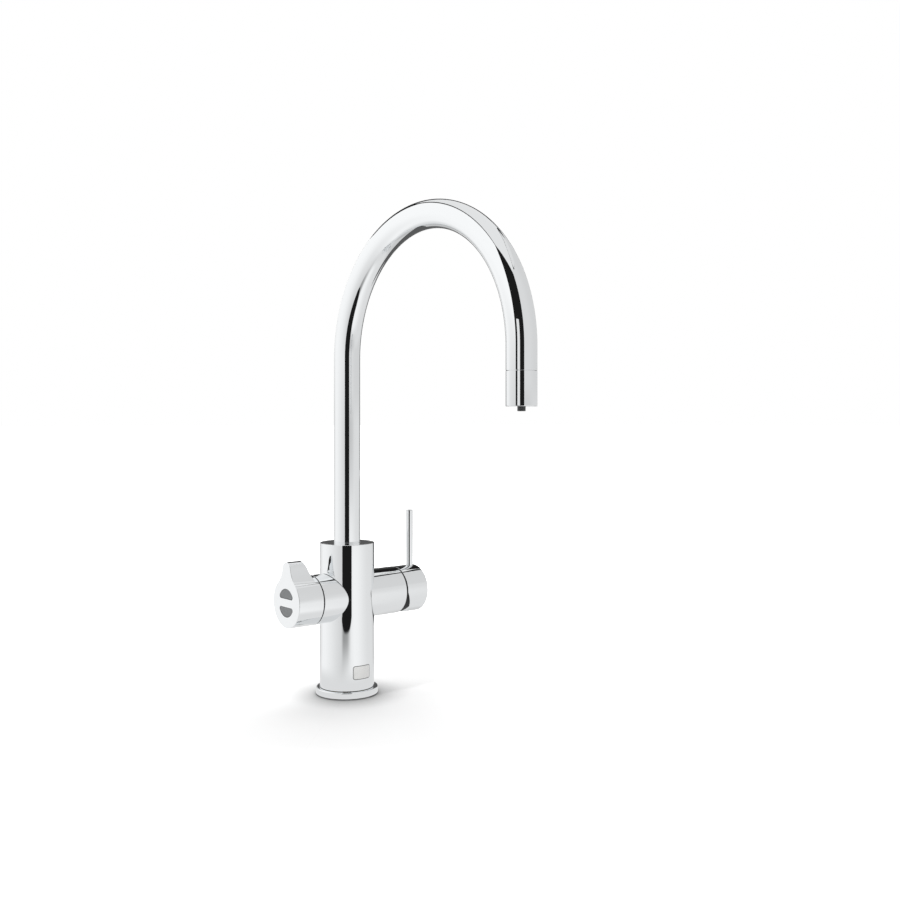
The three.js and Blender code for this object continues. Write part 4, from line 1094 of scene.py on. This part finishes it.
def right_wall_level(sideways, depth, height):
    low, upper, top = (
        between(azimuth_of(sideways, depth), levels) for levels in (RIGHT_LEVELS, RIGHT_UPPER, RIGHT_TOP)
    )
    level = mixed(low, upper, smooth(height, *RIGHT_RISE))
    return mixed(level, top, smooth(height, *RIGHT_TOP_RISE))


def floor_level(sideways, depth, height):
    azimuth = azimuth_of(sideways, depth)
    away = math.hypot(sideways - COLUMN_SIDE, depth - COLUMN_DEPTH) - COLUMN_RADIUS
    left, right = MOUTH
    across = smooth(azimuth, left, right)
    level = mixed(between(azimuth, LEFT_LEVELS), between(azimuth, RIGHT_LEVELS), across)
    # painted shadow: the sheet floor dims close to the column
    level = mixed(NEAR_FLOOR_SHADOW, level, smooth(away, *NEAR_SHADOW_REACH))
    # painted shade on the sheet floor in front of the dark mouth
    facing = smooth(azimuth, left - 3, left + 8) * (1 - smooth(azimuth, right - 20, right))
    before = 1 - smooth(depth, MOUTH_END, MOUTH_END + MOUTH_PAINTED_SHADE_DEPTH)
    level *= 1 - MOUTH_PAINTED_SHADE * facing * before
    end = MOUTH_END - MOUTH_ROUNDING * (2 * (azimuth - left) / (right - left) - 1) ** 4
    inside = 1 - smooth(depth, end - SOFT_END, end)
    inside *= smooth(azimuth, left - SOFT_SIDE, left + SOFT_SIDE)
    inside *= 1 - smooth(azimuth, right - SOFT_SIDE, right + SOFT_SIDE)
    return mixed(level, DARK, inside)


def add_set():
    left_top, right_top = WALL_TOPS
    add_wall("left_wall", LEFT_WALL, left_top, left_wall_level)
    add_wall("left_flag", LEFT_FLAG, left_top, DARK)
    add_wall("left_return", LEFT_RETURN, LEFT_RETURN_TOP, left_wall_level)
    add_wall("right_wall", RIGHT_WALL, right_top, right_wall_level)
    foot = [(x, y, right_top) for x, y in RIGHT_SLOPE]
    head = [(x, y, SLOPE_TOP) for x, y in SLOPE_HEAD]
    add_sheet("right_slope", [foot, head], SLOPE_LEVEL)
    roof = []
    for (x0, y0), (x1, y1), height in ROOF_ROWS:
        roof.append([(x, y, height) for x, y in zip(stepped(x0, x1, 6), stepped(y0, y1, 6))])
    add_sheet("roof", roof, ROOF_LEVEL)
    depths = stepped(FLOOR_FRONT, FLOOR_BACK, 220)
    floor = [[(x, y, 1.0) for x in stepped(*FLOOR_SIDES, 380)] for y in depths]
    add_sheet("set_floor", floor, floor_level)


AIR_REACH = 4000
BACK_AIR = 0.10
SIDE_AIR = 0.85
BACK_GROUND = 0.11
GROUND_HEIGHT = 0.5
WINDOW = (-33, -14.8)  # degrees seen from the nozzle
WINDOW_TOP = 1250
WINDOW_AWAY = 3000
WINDOW_LEVEL = 0.85


def air_level(sideways, depth, height):
    """Dim behind the set, and pale past its left wall, where only the spout swung out sees it."""
    azimuth = azimuth_of(sideways, depth)
    low = 1 - smooth(height, 0.25 * AIR_REACH, 0.6 * AIR_REACH)
    behind = smooth(abs(azimuth), 100, 130)
    past_wall = smooth(azimuth, -140, -125) * (1 - smooth(azimuth, -60, -40))
    return mixed(mixed(DARK, BACK_AIR, behind * low), SIDE_AIR, past_wall * low)


def add_dark_air():
    """The unlit room beyond the set, with one far window low on the camera's left."""
    rows = []
    for rise in stepped(0, math.radians(89), 45):
        radius = AIR_REACH * math.cos(rise)
        height = GROUND_HEIGHT + AIR_REACH * math.sin(rise)
        row = []
        for turn in stepped(-math.pi, math.pi, 120):
            sideways = COLUMN_SIDE + radius * math.sin(turn)
            row.append((sideways, COLUMN_DEPTH - radius * math.cos(turn), height))
        rows.append(row)
    add_sheet("dark_air", rows, air_level)
    for name, depths, level in (
        ("front_ground", (-AIR_REACH, COLUMN_DEPTH), DARK),
        ("back_ground", (COLUMN_DEPTH, AIR_REACH), BACK_GROUND),
    ):
        ground = [[(x, y, GROUND_HEIGHT) for x in (-AIR_REACH, AIR_REACH)] for y in depths]
        add_sheet(name, ground, level)
    left, right = (NOZZLE_SIDE + WINDOW_AWAY * math.tan(math.radians(angle)) for angle in WINDOW)
    window_depth = NOZZLE_DEPTH - WINDOW_AWAY
    window = [[(x, window_depth, z) for x in (left, right)] for z in (1, WINDOW_TOP)]
    add_sheet("far_window", window, WINDOW_LEVEL)


FLOOR_SIZE = 40  # metres
FLOOR_COLOUR = (0.86, 0.86, 0.86, 1)
BLACK = (0, 0, 0, 1)
WHITE = (1, 1, 1, 1)
PAINTED_SHADOW_REACH = 0.034  # metres round the foot in which a painted contact shadow darkens the floor
# how steeply that painted contact shadow deepens towards the foot
PAINTED_SHADOW_DEPTH = 1.4
# The floor's own glow, which only the camera sees, grows with the distance in metres.
FLOOR_GLOW = {"From Min": 0.15, "From Max": 0.6, "To Min": 0.13, "To Max": 0.9}
WORLD_LIGHT = 0.56


def calculated(tree, operation, first, second):
    """The result of a sum of the given kind; second is another node's output, or a number."""
    values = {1: second} if isinstance(second, float) else {}
    links = {0: first} if values else {0: first, 1: second}
    return add_node(tree, "Math", values, links, operation=operation).outputs["Value"]


def add_floor():
    """A pale floor that keeps the tap's shadow, darkens round the foot with a painted contact shadow,
    and turns white to the camera further off.
    """
    mesh = bmesh.new()
    bmesh.ops.create_grid(mesh, x_segments=1, y_segments=1, size=FLOOR_SIZE)
    floor = loose_object("floor", mesh)
    material, tree, shader = new_material("pale_floor")
    shader.inputs["Roughness"].default_value = 0.6
    shader.inputs["Specular IOR Level"].default_value = 0
    # painted contact shadow: ambient occlusion darkens the floor's colour and its camera glow near the
    # tap
    occlusion = add_node(tree, "AmbientOcclusion", {"Distance": PAINTED_SHADOW_REACH}, samples=16)
    painted_shadow = calculated(tree, "POWER", occlusion.outputs["AO"], PAINTED_SHADOW_DEPTH)
    colours = {"A": BLACK, "B": FLOOR_COLOUR}
    shade = add_node(tree, "Mix", colours, {"Factor": painted_shadow}, data_type="RGBA")
    place = add_node(tree, "TexCoord").outputs["Object"]
    away = add_node(tree, "VectorMath", links={0: place}, operation="LENGTH").outputs["Value"]
    far = add_node(tree, "MapRange", FLOOR_GLOW, {"Value": away}).outputs["Result"]
    camera_ray = add_node(tree, "LightPath").outputs["Is Camera Ray"]
    seen = calculated(tree, "MULTIPLY", camera_ray, far)
    strength = calculated(tree, "MULTIPLY", seen, painted_shadow)
    glow = add_node(tree, "Emission", links={"Strength": strength}).outputs["Emission"]
    total = add_node(tree, "AddShader", links={0: shader.outputs["BSDF"], 1: glow})
    tree.links.new(shade.outputs["Result"], shader.inputs["Base Color"])
    tree.links.new(total.outputs["Shader"], tree.nodes["Material Output"].inputs["Surface"])
    floor.data.materials.append(material)


def add_world():
    """White to the camera and in reflections, and a plain soft light on everything else."""
    world = bpy.data.worlds.new("studio_air")
    world.use_nodes = True
    tree = world.node_tree
    background = tree.nodes["Background"]
    background.inputs["Color"].default_value = WHITE
    ray = add_node(tree, "LightPath").outputs
    seen = calculated(tree, "MAXIMUM", ray["Is Camera Ray"], ray["Is Glossy Ray"])
    seen = calculated(tree, "MAXIMUM", seen, ray["Is Transmission Ray"])
    strength = add_node(tree, "MapRange", {"To Min": WORLD_LIGHT, "To Max": 1}, {"Value": seen})
    tree.links.new(strength.outputs["Result"], background.inputs["Strength"])
    bpy.context.scene.world = world


def add_lamp(name, spot, size, power):
    """A disk lamp that aims at the column's foot and isn't seen in reflections."""
    lamp = bpy.data.lights.new(name, "AREA")
    lamp.shape = "DISK"
    lamp.size = size
    lamp.energy = power
    lamp.specular_factor = 0
    made = bpy.data.objects.new(name, lamp)
    made.location = spot
    made.rotation_euler = (-Vector(spot)).to_track_quat("-Z", "Y").to_euler()
    made.visible_glossy = False
    bpy.context.scene.collection.objects.link(made)


add_camera()
add_world()
add_floor()
add_set()
add_dark_air()
add_lamp("back", seen_from_camera(COLUMN_SIDE, 1400, 780), 0.96, 5.8)
add_lamp("key", seen_from_camera(-902, 132, 1004), 0.1, 5.0)

bpy.context.scene.view_settings.view_transform = "Standard"
